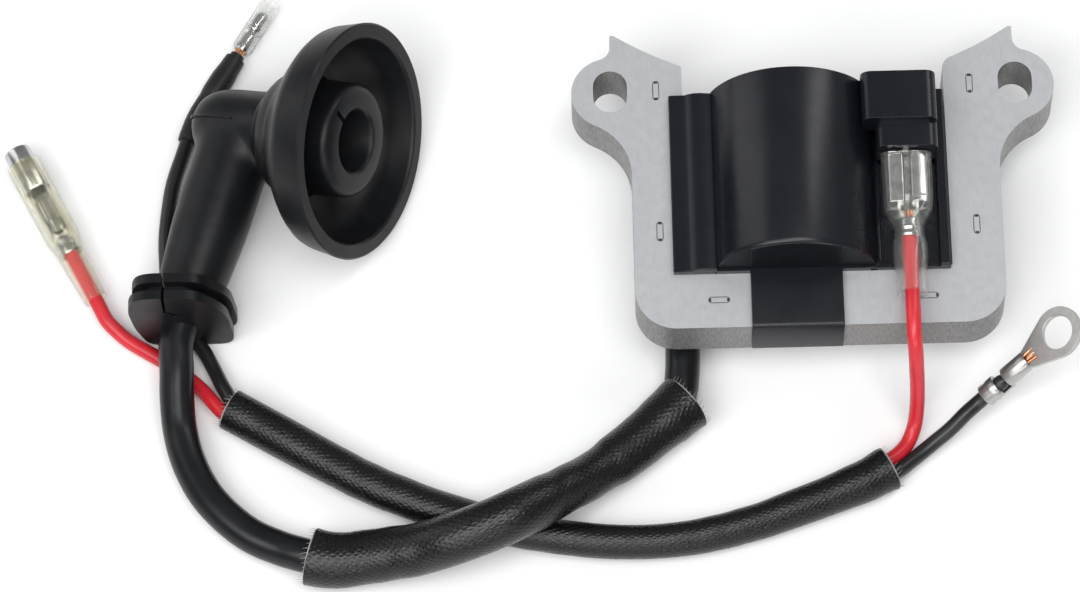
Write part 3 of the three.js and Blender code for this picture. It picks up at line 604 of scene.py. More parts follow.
LEAD_ROUTE = [
    (-0.0209, -0.0160, 0.0043), (-0.0209, -0.0210, 0.0043), (-0.0211, -0.0267, 0.00405),
    (-0.0217, -0.0304, 0.0039), (-0.0238, -0.0338, 0.0039), (-0.0278, -0.0374, 0.0040),
    (-0.0340, -0.0425, 0.0050), (-0.0401, -0.0473, 0.0084), (-0.0461, -0.0514, 0.0109),
    (-0.0506, -0.0534, 0.0108), (-0.0559, -0.0547, 0.0092), (-0.0612, -0.0552, 0.0066),
    (-0.0673, -0.0553, 0.0047), (-0.0720, -0.0556, 0.0040), (-0.0756, -0.0555, 0.0039),
    (-0.0786, -0.0547, 0.0038), (-0.0824, -0.0531, 0.0030), (-0.0870, -0.0507, 0.0027),
    (-0.0911, -0.0471, 0.0027), (-0.0941, -0.0432, 0.0027), (-0.0964, -0.0382, 0.0027),
    (-0.0976, -0.0333, 0.0029), (-0.0980, -0.0288, 0.0040), (-0.0980, -0.0247, 0.0051),
    on_arm(36), on_arm(33), on_arm(28), on_arm(22), on_arm(16), on_arm(12),
]

HARNESS_ROUTE = [
    (0.0097, -0.0425, 0.0030), (0.0052, -0.0448, 0.0030), (-0.0001, -0.0469, 0.0030),
    (-0.0102, -0.0506, 0.0030), (-0.0192, -0.0528, 0.0030), (-0.0267, -0.0535, 0.0030),
    (-0.0342, -0.0532, 0.0030), (-0.0432, -0.0518, 0.0030), (-0.0523, -0.0495, 0.0030),
    (-0.0605, -0.0466, 0.0030), (-0.0688, -0.0429, 0.0030), (-0.0772, -0.0380, 0.0030),
    (-0.0839, -0.0339, 0.0030), (-0.0899, -0.0302, 0.0030),
]

harness_path = spline(HARNESS_ROUTE)


def wire_in_harness(side):
    """One of the two wires that lie side by side in the sleeve and make half a turn about each other."""
    stations, pitch = 16, 0.00116
    frames = moving_frames(harness_path)
    points = []
    for i in range(stations + 1):
        t = i / stations
        index = round(t * (len(harness_path) - 1))
        along = frames[index][0]
        across = Vector((along.y, -along.x, 0)).normalized()
        point = harness_path[index] - across * side * pitch * math.cos(math.pi * t)
        point.z += side * pitch * math.sin(math.pi * t)
        points.append(tuple(point))
    return points


STOP_ROUTE = [
    (0.01355, -0.0116, 0.0200), (0.01355, -0.0160, 0.0200), (0.01355, -0.0210, 0.0200),
    (0.01355, -0.0250, 0.0200), (0.0136, -0.0277, 0.0192), (0.0138, -0.0296, 0.0170),
    (0.0140, -0.0310, 0.0138), (0.0142, -0.0323, 0.0098), (0.0142, -0.0339, 0.0059),
    (0.0138, -0.0359, 0.0033), (0.0126, -0.0384, 0.0024), (0.0109, -0.0403, 0.0027),
    *wire_in_harness(-1),
    (-0.0925, -0.0289, 0.0025), (-0.0943, -0.0263, 0.0015), (-0.0972, -0.0235, 0.0012),
    (-0.1004, -0.0211, 0.0012), (-0.1033, -0.0192, 0.0012), (-0.1057, -0.0176, 0.0013),
    (-0.1075, -0.0160, 0.0016), beyond(socket_tail, socket_axis, -3.8),
    beyond(socket_tail, socket_axis, -1),
    beyond(socket_tail, socket_axis, 4), beyond(socket_tail, socket_axis, 9.4),
]

GROUND_ROUTE = [
    beyond(ring_tail, ring_axis, 1.6), beyond(ring_tail, ring_axis, -1.5), (0.0218, -0.0344, 0.0049),
    (0.0192, -0.0366, 0.0037), (0.0166, -0.0384, 0.0027), (0.0138, -0.0406, 0.0024),
    *wire_in_harness(1),
    (-0.0909, -0.0266, 0.0025), (-0.0924, -0.0232, 0.0016), (-0.0941, -0.0197, 0.0013),
    (-0.0963, -0.0168, 0.0013), (-0.0980, -0.0146, 0.0013), (-0.0991, -0.0117, 0.0013),
    (-0.0997, -0.0083, 0.0013), (-0.1000, -0.0044, 0.0013), (-0.1001, -0.0006, 0.0013),
    (-0.0997, 0.0041, 0.0014), (-0.0990, 0.0086, 0.0016), (-0.0975, 0.0136, 0.0017),
    (-0.0964, 0.0171, 0.0017), (-0.0949, 0.0208, 0.0017),
    beyond(bullet_start, bullet_axis, -6.5), beyond(bullet_start, bullet_axis, -3),
    beyond(bullet_start, bullet_axis, -0.8),
]

lead_path = spline(LEAD_ROUTE)
stop_path = spline(STOP_ROUTE)
ground_path = spline(GROUND_ROUTE)

LEAD_DIAMETER = 0.0053
WIRE_DIAMETER = 0.0023


def make_leads():
    lead = tube("plug_lead_rubber", lead_path, LEAD_DIAMETER / 2, "lead_rubber", "module", 32)
    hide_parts("plug_lead")
    stop = tube("stop_wire_red", stop_path, WIRE_DIAMETER / 2, "wire_red", None, 20)
    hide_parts("stop_wire")
    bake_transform(stop)
    ground = tube("ground_wire_black", ground_path, WIRE_DIAMETER / 2, "wire_black", "module", 20)
    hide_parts("ground_wire")
    return lead, stop, ground


def profile_along(stations):
    """A tube shape whose size follows (distance in mm, factor) stations, with small folds."""
    def shape(angle, distance):
        along = distance / MM
        size = stations[-1][1]
        for (near, first), (far, second) in zip(stations, stations[1:]):
            if near <= along < far:
                t = (along - near) / (far - near)
                size = first + (second - first) * (3 - 2 * t) * t * t
                break
        fold = 0.014 * math.sin(0.9 * along + 2 * math.sin(0.23 * along)) * math.cos(angle + 0.05 * along)
        oval = 0.02 * math.cos(2 * angle + 0.08 * along)
        return size * (1 + fold + oval)
    return shape


def loose_fibres(name, path, radius, count, seed):
    """Short frayed ends that stand out of a cut sleeve end."""
    mesh = bmesh.new()
    tangent, side, up = moving_frames(path)[0]
    for i in range(count):
        phase = 2 * math.pi * i / count + seed
        outward = side * math.cos(phase) + up * math.sin(phase)
        reach = 0.0004 + 0.0007 * (0.5 + 0.5 * math.sin(7.3 * i + seed))
        lean = side * math.cos(phase + 1.3) + up * math.sin(phase + 1.3)
        root = path[0] + outward * radius * 0.97
        tip = root - tangent * reach + lean * reach * 0.5
        width = tangent.cross(outward) * 0.00006
        depth = outward * 0.00006
        points = (
            root - width, root + width, root + depth,
            tip - width * 0.4, tip + width * 0.4, tip + depth * 0.4,
        )
        a, b, c, d, e, f = (mesh.verts.new(point) for point in points)
        for loop in ((a, b, c), (d, f, e), (a, d, e, b), (b, e, f, c), (c, f, d, a)):
            mesh.faces.new(loop)
    for vert in mesh.verts:
        vert.co.z = max(vert.co.z, 0.0001)
    publish(name, mesh, "cut_fibre", "module")


def cut_rim(name, path, radius):
    """The pale edge where a braided sleeve was cut."""
    _, side, up = moving_frames(path)[0]
    turns = [2 * math.pi * i / 48 for i in range(49)]
    circle = [path[0] + (side * math.cos(turn) + up * math.sin(turn)) * radius for turn in turns]
    tube(name, circle, 0.00013, "cut_fibre", "module", 8, 0.0)


# Where the lead's sleeve lies along the lead, how many path steps it runs straight on past that
# towards the coil, and how each sleeve swells and narrows as (mm from its start, factor).
LEAD_SLEEVE_FROM, LEAD_SLEEVE_TO = 0.0185, 0.0817
STRAIGHT_STEPS = 6
LEAD_SLEEVE_SIZES = [
    (0, 1.13), (2.5, 1.08), (8, 0.98), (14, 0.95), (17, 0.86), (25, 0.88), (32, 0.98), (43, 1.0),
    (60, 1.04), (65, 1.08), (68, 1.11),
]
HARNESS_SLEEVE_SIZES = [
    (0, 1.13), (3, 1.06), (12, 0.96), (24, 0.90), (38, 0.88), (50, 0.90), (66, 0.94), (84, 1.0),
    (100, 1.06), (112, 1.08),
]


def make_sleeves():
    followed = stretch(lead_path, LEAD_SLEEVE_FROM, LEAD_SLEEVE_TO)
    onward = (followed[0] - followed[STRAIGHT_STEPS]).normalized()
    straight = [followed[0] + onward * PATH_STEP * i for i in range(STRAIGHT_STEPS, 0, -1)]
    lead_part = straight + followed
    lead_sleeve = tube(
        "plug_lead_braided_sleeve", lead_part, 0.0040, "lead_braid", "module", 48, 0.0037,
        profile_along(LEAD_SLEEVE_SIZES),
    )
    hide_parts("plug_lead_sleeve")
    harness = tube(
        "harness_braided_sleeve", harness_path, 0.0030, "sleeve_black", "module", 48, 0.00275,
        profile_along(HARNESS_SLEEVE_SIZES),
    )
    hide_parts("harness_sleeve")
    frays = (
        ("lead_sleeve_frayed_end", lead_part, 0.0044, 34, 0.5),
        ("harness_sleeve_frayed_end", harness_path, 0.0033, 28, 1.2),
        ("harness_sleeve_far_frayed_end", harness_path[::-1], 0.0031, 28, 2.1),
        ("lead_sleeve_far_frayed_end", lead_part[::-1], 0.0043, 34, 2.9),
    )
    for name, path, radius, count, seed in frays:
        loose_fibres(name, path, radius, count, seed)
    rims = (
        ("lead_sleeve_cut_rim", lead_part, 0.00435),
        ("lead_sleeve_far_cut_rim", lead_part[::-1], 0.00428),
        ("harness_sleeve_cut_rim", harness_path, 0.00328),
        ("harness_sleeve_far_cut_rim", harness_path[::-1], 0.00312),
    )
    for name, path, radius in rims:
        cut_rim(name, path, radius)
    return lead_sleeve, harness


plug_lead, stop_wire, ground_wire = make_leads()
lead_sleeve, harness_sleeve = make_sleeves()

# ------------------------------------------------------------------ laminated core

SLOT_X, SLOT_Y, SLOT_WIDTH, SLOT_LENGTH = 31.0, 15.45, 5.2, 7.0
LEG_OUTER, LEG_INNER = 28.0, 20.0
YOKE_FRONT, YOKE_BACK, YOKE_CORNER = -24.5, -15.0, 6.3
COIL_X = -3.6
CORE_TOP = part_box("core_lamination_12")[1][2] / MM
CORE_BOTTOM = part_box("core_lamination_01")[0][2] / MM


def limb_outline(inner_corner):
    """The right-hand limb from the yoke's front to the leg's inner edge."""
    ear_y, ear_radius, tip_fillet, leg_fillet = 15.2, 5.95, 2.2, 9.4
    tip_y, tip_inner, tip_outer, flywheel = 25.05, 30.3, 30.9, 53.5
    corner_x = LEG_OUTER - YOKE_CORNER
    fillet_x = LEG_OUTER + leg_fillet
    fillet_y = ear_y - math.sqrt((leg_fillet + ear_radius) ** 2 - (fillet_x - SLOT_X) ** 2)
    ear_angle = math.degrees(math.atan2(ear_y - fillet_y, SLOT_X - fillet_x))
    tip_x = tip_outer + tip_fillet
    tip_centre = ear_y + math.sqrt((ear_radius + tip_fillet) ** 2 - (tip_x - SLOT_X) ** 2)
    tip_angle = math.degrees(math.atan2(tip_centre - ear_y, tip_x - SLOT_X))
    wheel_y = tip_y + math.sqrt(flywheel**2 - tip_inner**2)
    round_x = LEG_INNER + inner_corner
    round_y = wheel_y - math.sqrt((flywheel + inner_corner) ** 2 - round_x**2)
    face_start = math.degrees(math.atan2(tip_y - wheel_y, tip_inner))
    face_end = math.degrees(math.atan2(round_y - wheel_y, round_x))
    return [
        *arc(corner_x, YOKE_FRONT + YOKE_CORNER, YOKE_CORNER, -90, 0, 16),
        *arc(fillet_x, fillet_y, leg_fillet, 180, ear_angle, 12),
        *arc(SLOT_X, ear_y, ear_radius, ear_angle - 180, tip_angle, 36)[1:],
        *arc(tip_x, tip_centre, tip_fillet, tip_angle + 180, 180, 8)[1:],
        (tip_outer, tip_y),
        *arc(0, wheel_y, flywheel, face_start, face_end, 16),
        *arc(round_x, round_y, inner_corner, face_end + 180, 180, 6)[1:],
    ]


def lamination_outline():
    right = limb_outline(2.0)
    left = [(-x, y) for x, y in reversed(limb_outline(0.5))]
    leg_left, leg_right, leg_end = COIL_X - 4.5, COIL_X + 4.5, 12.0
    window = [
        (LEG_INNER, YOKE_BACK), (leg_right, YOKE_BACK), (leg_right, leg_end), (leg_left, leg_end),
        (leg_left, YOKE_BACK), (-LEG_INNER, YOKE_BACK),
    ]
    return right + window + left


def obround(x, y, length, width, steps=12):
    straight = (length - width) / 2
    return [
        *arc(x, y + straight, width / 2, 0, 180, steps),
        *arc(x, y - straight, width / 2, 180, 360, steps),
    ]


def make_core():
    outline = lamination_outline()
    slots = [obround(x, SLOT_Y, SLOT_LENGTH, SLOT_WIDTH) for x in (-SLOT_X, SLOT_X)]
    for name in sorted(node for node in frame["nodes"] if node.startswith("core_lamination_")):
        low, high = (corner[2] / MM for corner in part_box(name))
        mesh = bmesh.new()
        prism(mesh, outline, upright, low + 0.005, high - 0.005, slots)
        sheet = publish(name.replace("core_", "steel_"), mesh, "core_steel", "module", smooth_angle=25)
        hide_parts(name)
        soften(sheet, 0.00014 if name.endswith("_12") else 0.00007, 2, 60)


def make_clinch_marks():
    """Obround interlock dimples pressed into the top sheet: a thin groove with two deeper ends, drawn as dark
    pieces of painted shade round a slightly raised pad.
    """
    places = [(x, y, False) for x in (-24.0, 24.0) for y in (15.45, -8.35)]
    places += [(-15.4, -19.95, True), (16.1, -19.98, True)]
    ring = obround(0, 0, 3.3, 1.05, 8)
    inner = obround(0, 0, 3.08, 0.83, 8)
    dent_shades = [rounded_rectangle(0, side * 1.35, 0.6, 0.32, 0.12, 3) for side in (-1, 1)]
    face = obround(0, 0, 2.2, 0.72, 8)
    groove, pad = bmesh.new(), bmesh.new()
    for x, y, lying in places:

        def at(u, v, w, x=x, y=y, lying=lying):
            return upright(x + (v if lying else u), y + (u if lying else v), w)

        # The groove ring and its deeper ends are dark pieces at the surface: painted shade in place of a recess.
        prism(groove, ring, at, CORE_TOP - 0.02, CORE_TOP + 0.012, [inner])
        for dent_shade in dent_shades:
            prism(groove, dent_shade, at, CORE_TOP - 0.02, CORE_TOP + 0.02)
        prism(pad, face, at, CORE_TOP - 0.02, CORE_TOP + 0.035)
    publish("clinch_mark_groove_shade", groove, "clinch_groove_shade", "module")
    soften(publish("clinch_mark_pads", pad, "core_steel", "module"), 0.00003, 2)


make_core()
make_clinch_marks()

# ------------------------------------------------------------------ coil case

case_high = tuple(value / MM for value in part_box("coil_case")[1])
DOME_TOP = case_high[2]
DOME_RADIUS = 13.0
DOME_Z = DOME_TOP - DOME_RADIUS
CASE_BACK = case_high[1]


def dome_section(base, flare):
    """Half-round section that flares out into the flange with a small fillet."""
    lift = base + flare
    angle = math.degrees(math.asin((lift - DOME_Z) / DOME_RADIUS))
    side = DOME_RADIUS * math.cos(math.radians(angle))
    right = [
        (COIL_X + side + flare - flare * math.sin(a), base + flare - flare * math.cos(a))
        for a in (math.radians(90 * i / 6) for i in range(6))
    ]
    left = [(2 * COIL_X - x, z) for x, z in reversed(right)]
    crown = arc(COIL_X, DOME_Z, DOME_RADIUS, angle, 180 - angle, 72)
    foot = CORE_TOP + 0.02
    return [(COIL_X + side + flare, foot), *right, *crown, *left, (COIL_X - side - flare, foot)]


def loft_along_y(mesh, sections):
    """Joins closed sections of (y, [(x, z), ...]) with the same number of points."""
    rings = [[mesh.verts.new(along_y(x, z, y)) for x, z in points] for y, points in sections]
    count = len(rings[0])
    for first, second in zip(rings, rings[1:]):
        for i in range(count):
            j = (i + 1) % count
            mesh.faces.new((first[i], first[j], second[j], second[i]))
    mesh.faces.new(rings[0])
    mesh.faces.new(rings[-1])


def make_case():

    def part(name, build, width, angle=40):
        mesh = bmesh.new()
        build(mesh)
        piece = publish(name, mesh, "case_plastic", "module")
        # The front-facing faces of the dome and the strap wall take the darker copy of the plastic as painted
        # shade.
        if name in ("case_dome", "case_strap_wall"):
            piece.data.materials.append(MATERIALS["case_front_shade"])
            for polygon in piece.data.polygons:
                polygon.material_index = int(polygon.normal.y < -0.8)
        return soften(piece, width * MM, 3, angle)

    def dome(mesh):
        section = dome_section(17.6, 0.9)

        def drawn_in(amount):
            """The section a little smaller, for the rounded front edge."""
            keep = 1 - amount
            return [(COIL_X + (x - COIL_X) * keep, CORE_TOP + (z - CORE_TOP) * keep) for x, z in section]

        loft_along_y(mesh, [
            (-15.25, drawn_in(0.03)), (-14.95, drawn_in(0.012)), (-14.5, section), (CASE_BACK, section),
        ])

    def left_flange(mesh):
        ridge = [
            (-22.15, CORE_TOP + 0.02), (-15.5, CORE_TOP + 0.02), (-15.5, 18.2), (-16.4, 18.3), (-17.3, 18.45),
            (-18.4, 18.4), (-19.3, 18.0), (-19.7, 17.75), (-22.0, 17.7), (-22.15, 17.6),
        ]
        loft_along_y(mesh, [(-15.7, ridge), (CASE_BACK - 0.05, ridge)])

    def front_flange(mesh):
        box(mesh, -16, 8.8, -15.7, -13, CORE_TOP + 0.02, 17.6)

    def tray(mesh):
        box(mesh, 7.5, 19.75, -15.7, CASE_BACK - 0.1, CORE_TOP + 0.02, 16.85)
        box(mesh, 7.5, 19.75, -15.7, -14.7, CORE_TOP + 0.02, 17.3)
        box(mesh, 9.0, 9.6, -15.0, 3.0, CORE_TOP + 0.02, 17.3)

    def right_rim(mesh):
        box(mesh, 18.1, 19.78, -15.68, CASE_BACK - 0.12, CORE_TOP + 0.02, 18.15)

    def boss(mesh):
        prism(mesh, rounded_rectangle(12.7, 20.45, 11.4, 7.9, 1.6, 6), along_y, 6.1, CASE_BACK - 0.02)
        box(mesh, 7.0, 18.4, 6.1, CASE_BACK - 0.02, CORE_TOP + 0.1, 20)

    def hood(mesh):
        ring = rounded_rectangle(13.7, 19.8, 9.4, 6.6, 1.4, 6)
        room = rounded_rectangle(13.55, 19.1, 5.4, 1.5, 0.3, 3)
        prism(mesh, ring, along_y, 2.0, 6.6, [room])
        box(mesh, 9.0, 10.8, 2.0, 6.6, CORE_TOP + 0.1, 18)
        box(mesh, 16.4, 18.4, 2.0, 6.6, CORE_TOP + 0.1, 18)

    def strap(mesh):
        outline = [
            (-25.04, 9.55), (-24.5, 9.5), (-24.48, CORE_TOP + 0.03), (-14.4, CORE_TOP + 0.03), (-14.4, 17.62),
            (-24.4, 17.62), (-24.85, 17.5), (-25.04, 17.1),
        ]
        prism(mesh, outline, lambda y, z, x: Vector((x, y, z)) * MM, COIL_X - 6.95, COIL_X + 6.95)

    def strap_wall(mesh):
        profile = arc(COIL_X, DOME_Z, DOME_RADIUS - 0.35, 57, 123, 24)
        section = [(COIL_X + 6.95, 17.0), *profile, (COIL_X - 6.95, 17.0)]
        prism(mesh, section, along_y, -15.42, -14.8)

    def lower_body(mesh):
        outline = rounded_rectangle(0, 0, 39.2, 28.4, 1.0, 4)
        hollow = rounded_rectangle(0, 0, 36.8, 26.0, 0.8, 4)
        middle = (CASE_BACK - 14.6) / 2
        outline, hollow = ([(x, y + middle) for x, y in loop] for loop in (outline, hollow))
        prism(mesh, outline, upright, 0.0, CORE_BOTTOM + 0.02, [hollow])

    def window_walls(mesh):
        box(mesh, -19.55, 19.55, CASE_BACK - 1.2, CASE_BACK - 0.1, CORE_BOTTOM, CORE_TOP + 0.1)
        box(mesh, -19.55, -18.4, -14.6, CASE_BACK - 0.1, CORE_BOTTOM, CORE_TOP + 0.1)
        box(mesh, 18.4, 19.55, -14.6, CASE_BACK - 0.1, CORE_BOTTOM, CORE_TOP + 0.1)

    dome_piece = part("case_dome", dome, 0.25, 50)
    part("case_left_flange", left_flange, 0.2, 50)
    part("case_front_flange", front_flange, 0.15)
    part("case_terminal_tray", tray, 0.12)
    part("case_right_rim", right_rim, 0.3)
    part("case_terminal_boss", boss, 0.35)
    part("case_blade_hood", hood, 0.25)
    part("case_yoke_strap", strap, 0.18)
    part("case_strap_wall", strap_wall, 0.08)
    part("case_lower_body", lower_body, 0.3)
    part("case_window_walls", window_walls, 0.2)
    tower = [(0, 2.95), (0, 3.9), (0.3, 4.2), (13, 4.2), (13, 2.95), (0, 2.95)]
    turned("case_lead_tower", [tower], facing_y(-20.9, -21.0, 4.3), 48, "case_plastic", "module")
    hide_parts("coil_case")


make_case()

# ------------------------------------------------------------------ plug boot and its grommet

BOOT_LEAN = math.asin(max(-1.0, min(1.0, mouth_axis.dot(arm_axis))))
boot_y = ((mouth_axis * math.sin(BOOT_LEAN) - arm_axis) / math.cos(BOOT_LEAN)).normalized()
boot_matrix = Matrix.Translation(boot_origin) @ Matrix((
    mouth_axis, boot_y, mouth_axis.cross(boot_y),
)).transposed().to_4x4()
arm_matrix = frame_on(boot_origin, arm_axis, mouth_axis)
ARM_LENGTH = 27.6
ARM_SHIFT = 1.9
NOTCH_TURN = math.radians(78)
arm_outside = frame_on(
    boot_origin + mouth_axis * ARM_SHIFT * MM, arm_axis * ARM_LENGTH - mouth_axis * ARM_SHIFT, mouth_axis
)


def apply_boolean(piece, cutter, operation):
    modifier = piece.modifiers.new("join", "BOOLEAN")
    modifier.operation = operation
    modifier.solver = "EXACT"
    modifier.object = cutter
    bpy.context.view_layer.update()
    depsgraph = bpy.context.evaluated_depsgraph_get()
    result = bpy.data.meshes.new_from_object(piece.evaluated_get(depsgraph))
    piece.modifiers.clear()
    piece.data = result
    bpy.data.objects.remove(cutter)


def turned_rubber(name, profile, matrix, sides):
    return turned(name, [profile], matrix, sides, "boot_rubber", None)


# The corner of the boot is smoothed this far up the bell's axis and along the arm, in metres. The
# reach along the arm shrinks by JOINT_FADE over the passes, so that the smoothing ends softly.
JOINT_TOP = 0.0092
JOINT_REACH = 0.022
JOINT_FADE = 0.01
SMOOTH_PASSES = 40


def blend_joint(piece):
    """Remeshes the elbow and arm evenly, then smooths the corner where they meet."""
    remesh = piece.modifiers.new("even", "REMESH")
    remesh.mode = "VOXEL"
    remesh.voxel_size = 0.0004
    bpy.context.view_layer.update()
    depsgraph = bpy.context.evaluated_depsgraph_get()
    result = bpy.data.meshes.new_from_object(piece.evaluated_get(depsgraph))
    piece.modifiers.clear()
    mesh = bmesh.new()
    mesh.from_mesh(result)
    reach = {
        vert: (vert.co - boot_origin).dot(arm_axis)
        for vert in mesh.verts if (vert.co - boot_origin).dot(mouth_axis) < JOINT_TOP
    }
    for number in range(SMOOTH_PASSES):
        limit = JOINT_REACH - JOINT_FADE * number / SMOOTH_PASSES
        near = [vert for vert, distance in reach.items() if distance < limit]
        bmesh.ops.smooth_vert(
            mesh, verts=near, factor=0.5, use_axis_x=True, use_axis_y=True, use_axis_z=True
        )
    mesh.to_mesh(result)
    mesh.free()
    piece.data = result


def make_boot():
    """Elbow and arm blended into one, joined to the bell, with its bores and the notch in its boss."""
    boot = turned_rubber("plug_boot_rubber", [
        (-6.2, 0), (-6.1, 1.4), (-5.75, 2.7), (-5.1, 3.8), (-4.1, 4.75), (-2.8, 5.4), (-1.2, 5.8),
        (0.6, 5.95), (5.2, 6.05), (7.4, 6.2), (10.5, 6.3), (10.5, 0),
    ], boot_matrix, 72)
    arm = turned_rubber("arm", [
        (0, 0), (0, 6.0), (10, 6.05), (14, 6.0), (18, 5.85), (21, 5.6), (24, 5.35), (26.8, 5.05),
        (27.4, 4.85), (ARM_LENGTH, 4.5), (ARM_LENGTH, 0),
    ], arm_outside, 72)
    apply_boolean(boot, arm, "UNION")
    blend_joint(boot)
    bell = turned_rubber("bell", [
        (7.6, 0), (7.6, 6.3), (8.2, 6.6), (8.8, 7.4), (9.5, 8.4), (10.3, 9.1), (11.4, 9.5), (12.1, 9.8),
        (12.8, 10.5), (13.6, 11.6), (14.6, 13.0), (15.6, 14.3), (16.6, 15.5), (17.5, 16.5), (18.2, 17.05),
        (19.0, 17.35), (20.6, 17.65), (22.8, 18.1), (23.25, 18.15), (23.5, 17.9), (23.5, 16.1),
        (23.3, 15.85), (22.9, 15.7), (19.4, 15.3), (17.6, 14.0), (15.6, 11.9), (14.7, 10.5), (14.4, 9.5),
        (14.7, 8.9), (21.4, 8.8), (22.1, 8.6), (22.6, 8.1), (22.8, 7.4), (22.8, 0),
    ], boot_matrix, 120)
    apply_boolean(boot, bell, "UNION")
    lead_bore = turned_rubber("lead_bore", [(-0.5, 0), (-0.5, 2.9), (30, 2.9), (30, 0)], arm_matrix, 48)
    apply_boolean(boot, lead_bore, "DIFFERENCE")
    plug_bore = turned_rubber("plug_bore", [
        (1, 0), (1, 3.4), (4, 3.6), (6, 4.7), (22.1, 4.7), (22.6, 5.0), (23.0, 5.5), (30, 5.5), (30, 0),
    ], boot_matrix, 72)
    apply_boolean(boot, plug_bore, "DIFFERENCE")

    def at_notch(along, out, wide):
        across = out * math.cos(NOTCH_TURN) - wide * math.sin(NOTCH_TURN)
        up = out * math.sin(NOTCH_TURN) + wide * math.cos(NOTCH_TURN)
        return boot_matrix @ (Vector((along, across, up)) * MM)

    notch = bmesh.new()
    prism(notch, [(20.5, 3.4), (24, 3.4), (24, 7.9), (20.5, 7.0)], at_notch, -0.35, 0.35)
    apply_boolean(boot, publish("notch", notch, "boot_rubber", None), "DIFFERENCE")
    mesh = bmesh.new()
    mesh.from_mesh(boot.data)
    shade(mesh, 32)
    mesh.to_mesh(boot.data)
    mesh.free()
    if not boot.data.materials:
        boot.data.materials.append(MATERIALS["boot_rubber"])
    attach(boot, "plug_cap")
    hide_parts("plug_boot")
    return boot


def make_boot_seams():
    """The ridge round the elbow and the mould's parting line under the bell."""
    runs = (
        ("boot_elbow_ridge_1", 97, [
            (3.5, 6.0), (0.6, 5.95), (-1.2, 5.8), (-2.8, 5.4), (-4.1, 4.75), (-5.1, 3.8), (-5.75, 2.7),
            (-6.1, 1.4),
        ]),
        ("boot_bell_parting_line_1", 277, [
            (12.8, 10.5), (15.6, 14.3), (17.5, 16.5), (19.0, 17.35), (22.8, 18.1),
        ]),
    )
    pieces = []
    for name, angle, line in runs:
        turn = math.radians(angle)
        path = [
            boot_matrix @ (Vector((along, radius * math.cos(turn), radius * math.sin(turn))) * MM)
            for along, radius in line
        ]
        pieces.append(tube(name, resample(path, 0.0006), 0.0002, "boot_rubber", "plug_cap", 8))
    return pieces


def make_grommet():
    """Two flanges with a groove between them, standing on its straight edge."""
    front, back = (corner[1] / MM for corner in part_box("lead_grommet"))
    outline = [
        (-102.4, 0.3), (-90.2, 0.3), (-89.3, 2.6), (-90.1, 11.3), (-94.6, 17.4), (-102.6, 17.5),
        (-104.4, 16), (-105, 12.6), (-104.2, 6),
    ]
    middle_x, middle_z = -97.2, 8.6
    flange, far_shift = 1.5, 0.55

    def rounded(scale, cut):
        """The outline, scaled about its middle, with its corners cut round."""
        points = [
            Vector((middle_x + (x - middle_x) * scale, middle_z + (z - middle_z) * scale)) for x, z in outline
        ]
        smooth = []
        for before, here, after in zip(points[-1:] + points, points, points[1:] + points[:1]):
            a = here.lerp(before, min(0.45, cut / (before - here).length))
            b = here.lerp(after, min(0.45, cut / (after - here).length))
            for i in range(7):
                t = i / 6
                smooth.append(tuple((1 - t) ** 2 * a + 2 * t * (1 - t) * here + t * t * b))
        return smooth

    def slab(name, section, near, far, body=None):
        mesh = bmesh.new()
        prism(mesh, section, along_y, near, far)
        return publish(name, mesh, "boot_rubber", body)

    near_outline = rounded(1.0, 2.2)
    far_outline = [(x + far_shift, z) for x, z in near_outline]
    slit = [(-99.6, 21), (-99.2, 21), (-99.15, 12.6), (-97.6, 11.6), (-97.9, 11.1), (-99.6, 12.3)]
    crossing = [(-99.5, 10.9), (-96.3, 10.9), (-96.3, 11.3), (-99.5, 11.3)]
    grommet = slab("lead_grommet_rubber", near_outline, front, front + flange, "module")
    apply_boolean(grommet, slab("groove", rounded(0.8, 2.0), front + 0.5, back - 0.5), "UNION")
    apply_boolean(grommet, slab("far_flange", far_outline, back - flange, back), "UNION")
    apply_boolean(grommet, slab("slit", slit, front - 1, back + 1), "DIFFERENCE")
    apply_boolean(grommet, slab("slit_crossing", crossing, front - 1, front + 0.8), "DIFFERENCE")
    soften(grommet, 0.0002, 3)
    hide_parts("lead_grommet")
    return grommet


plug_boot = make_boot()
parting_lines = make_boot_seams()
grommet = make_grommet()

# ------------------------------------------------------------------ push-on connector on the stop blade

BLADE_X = 13.55
CONNECTOR_Z = 20.0


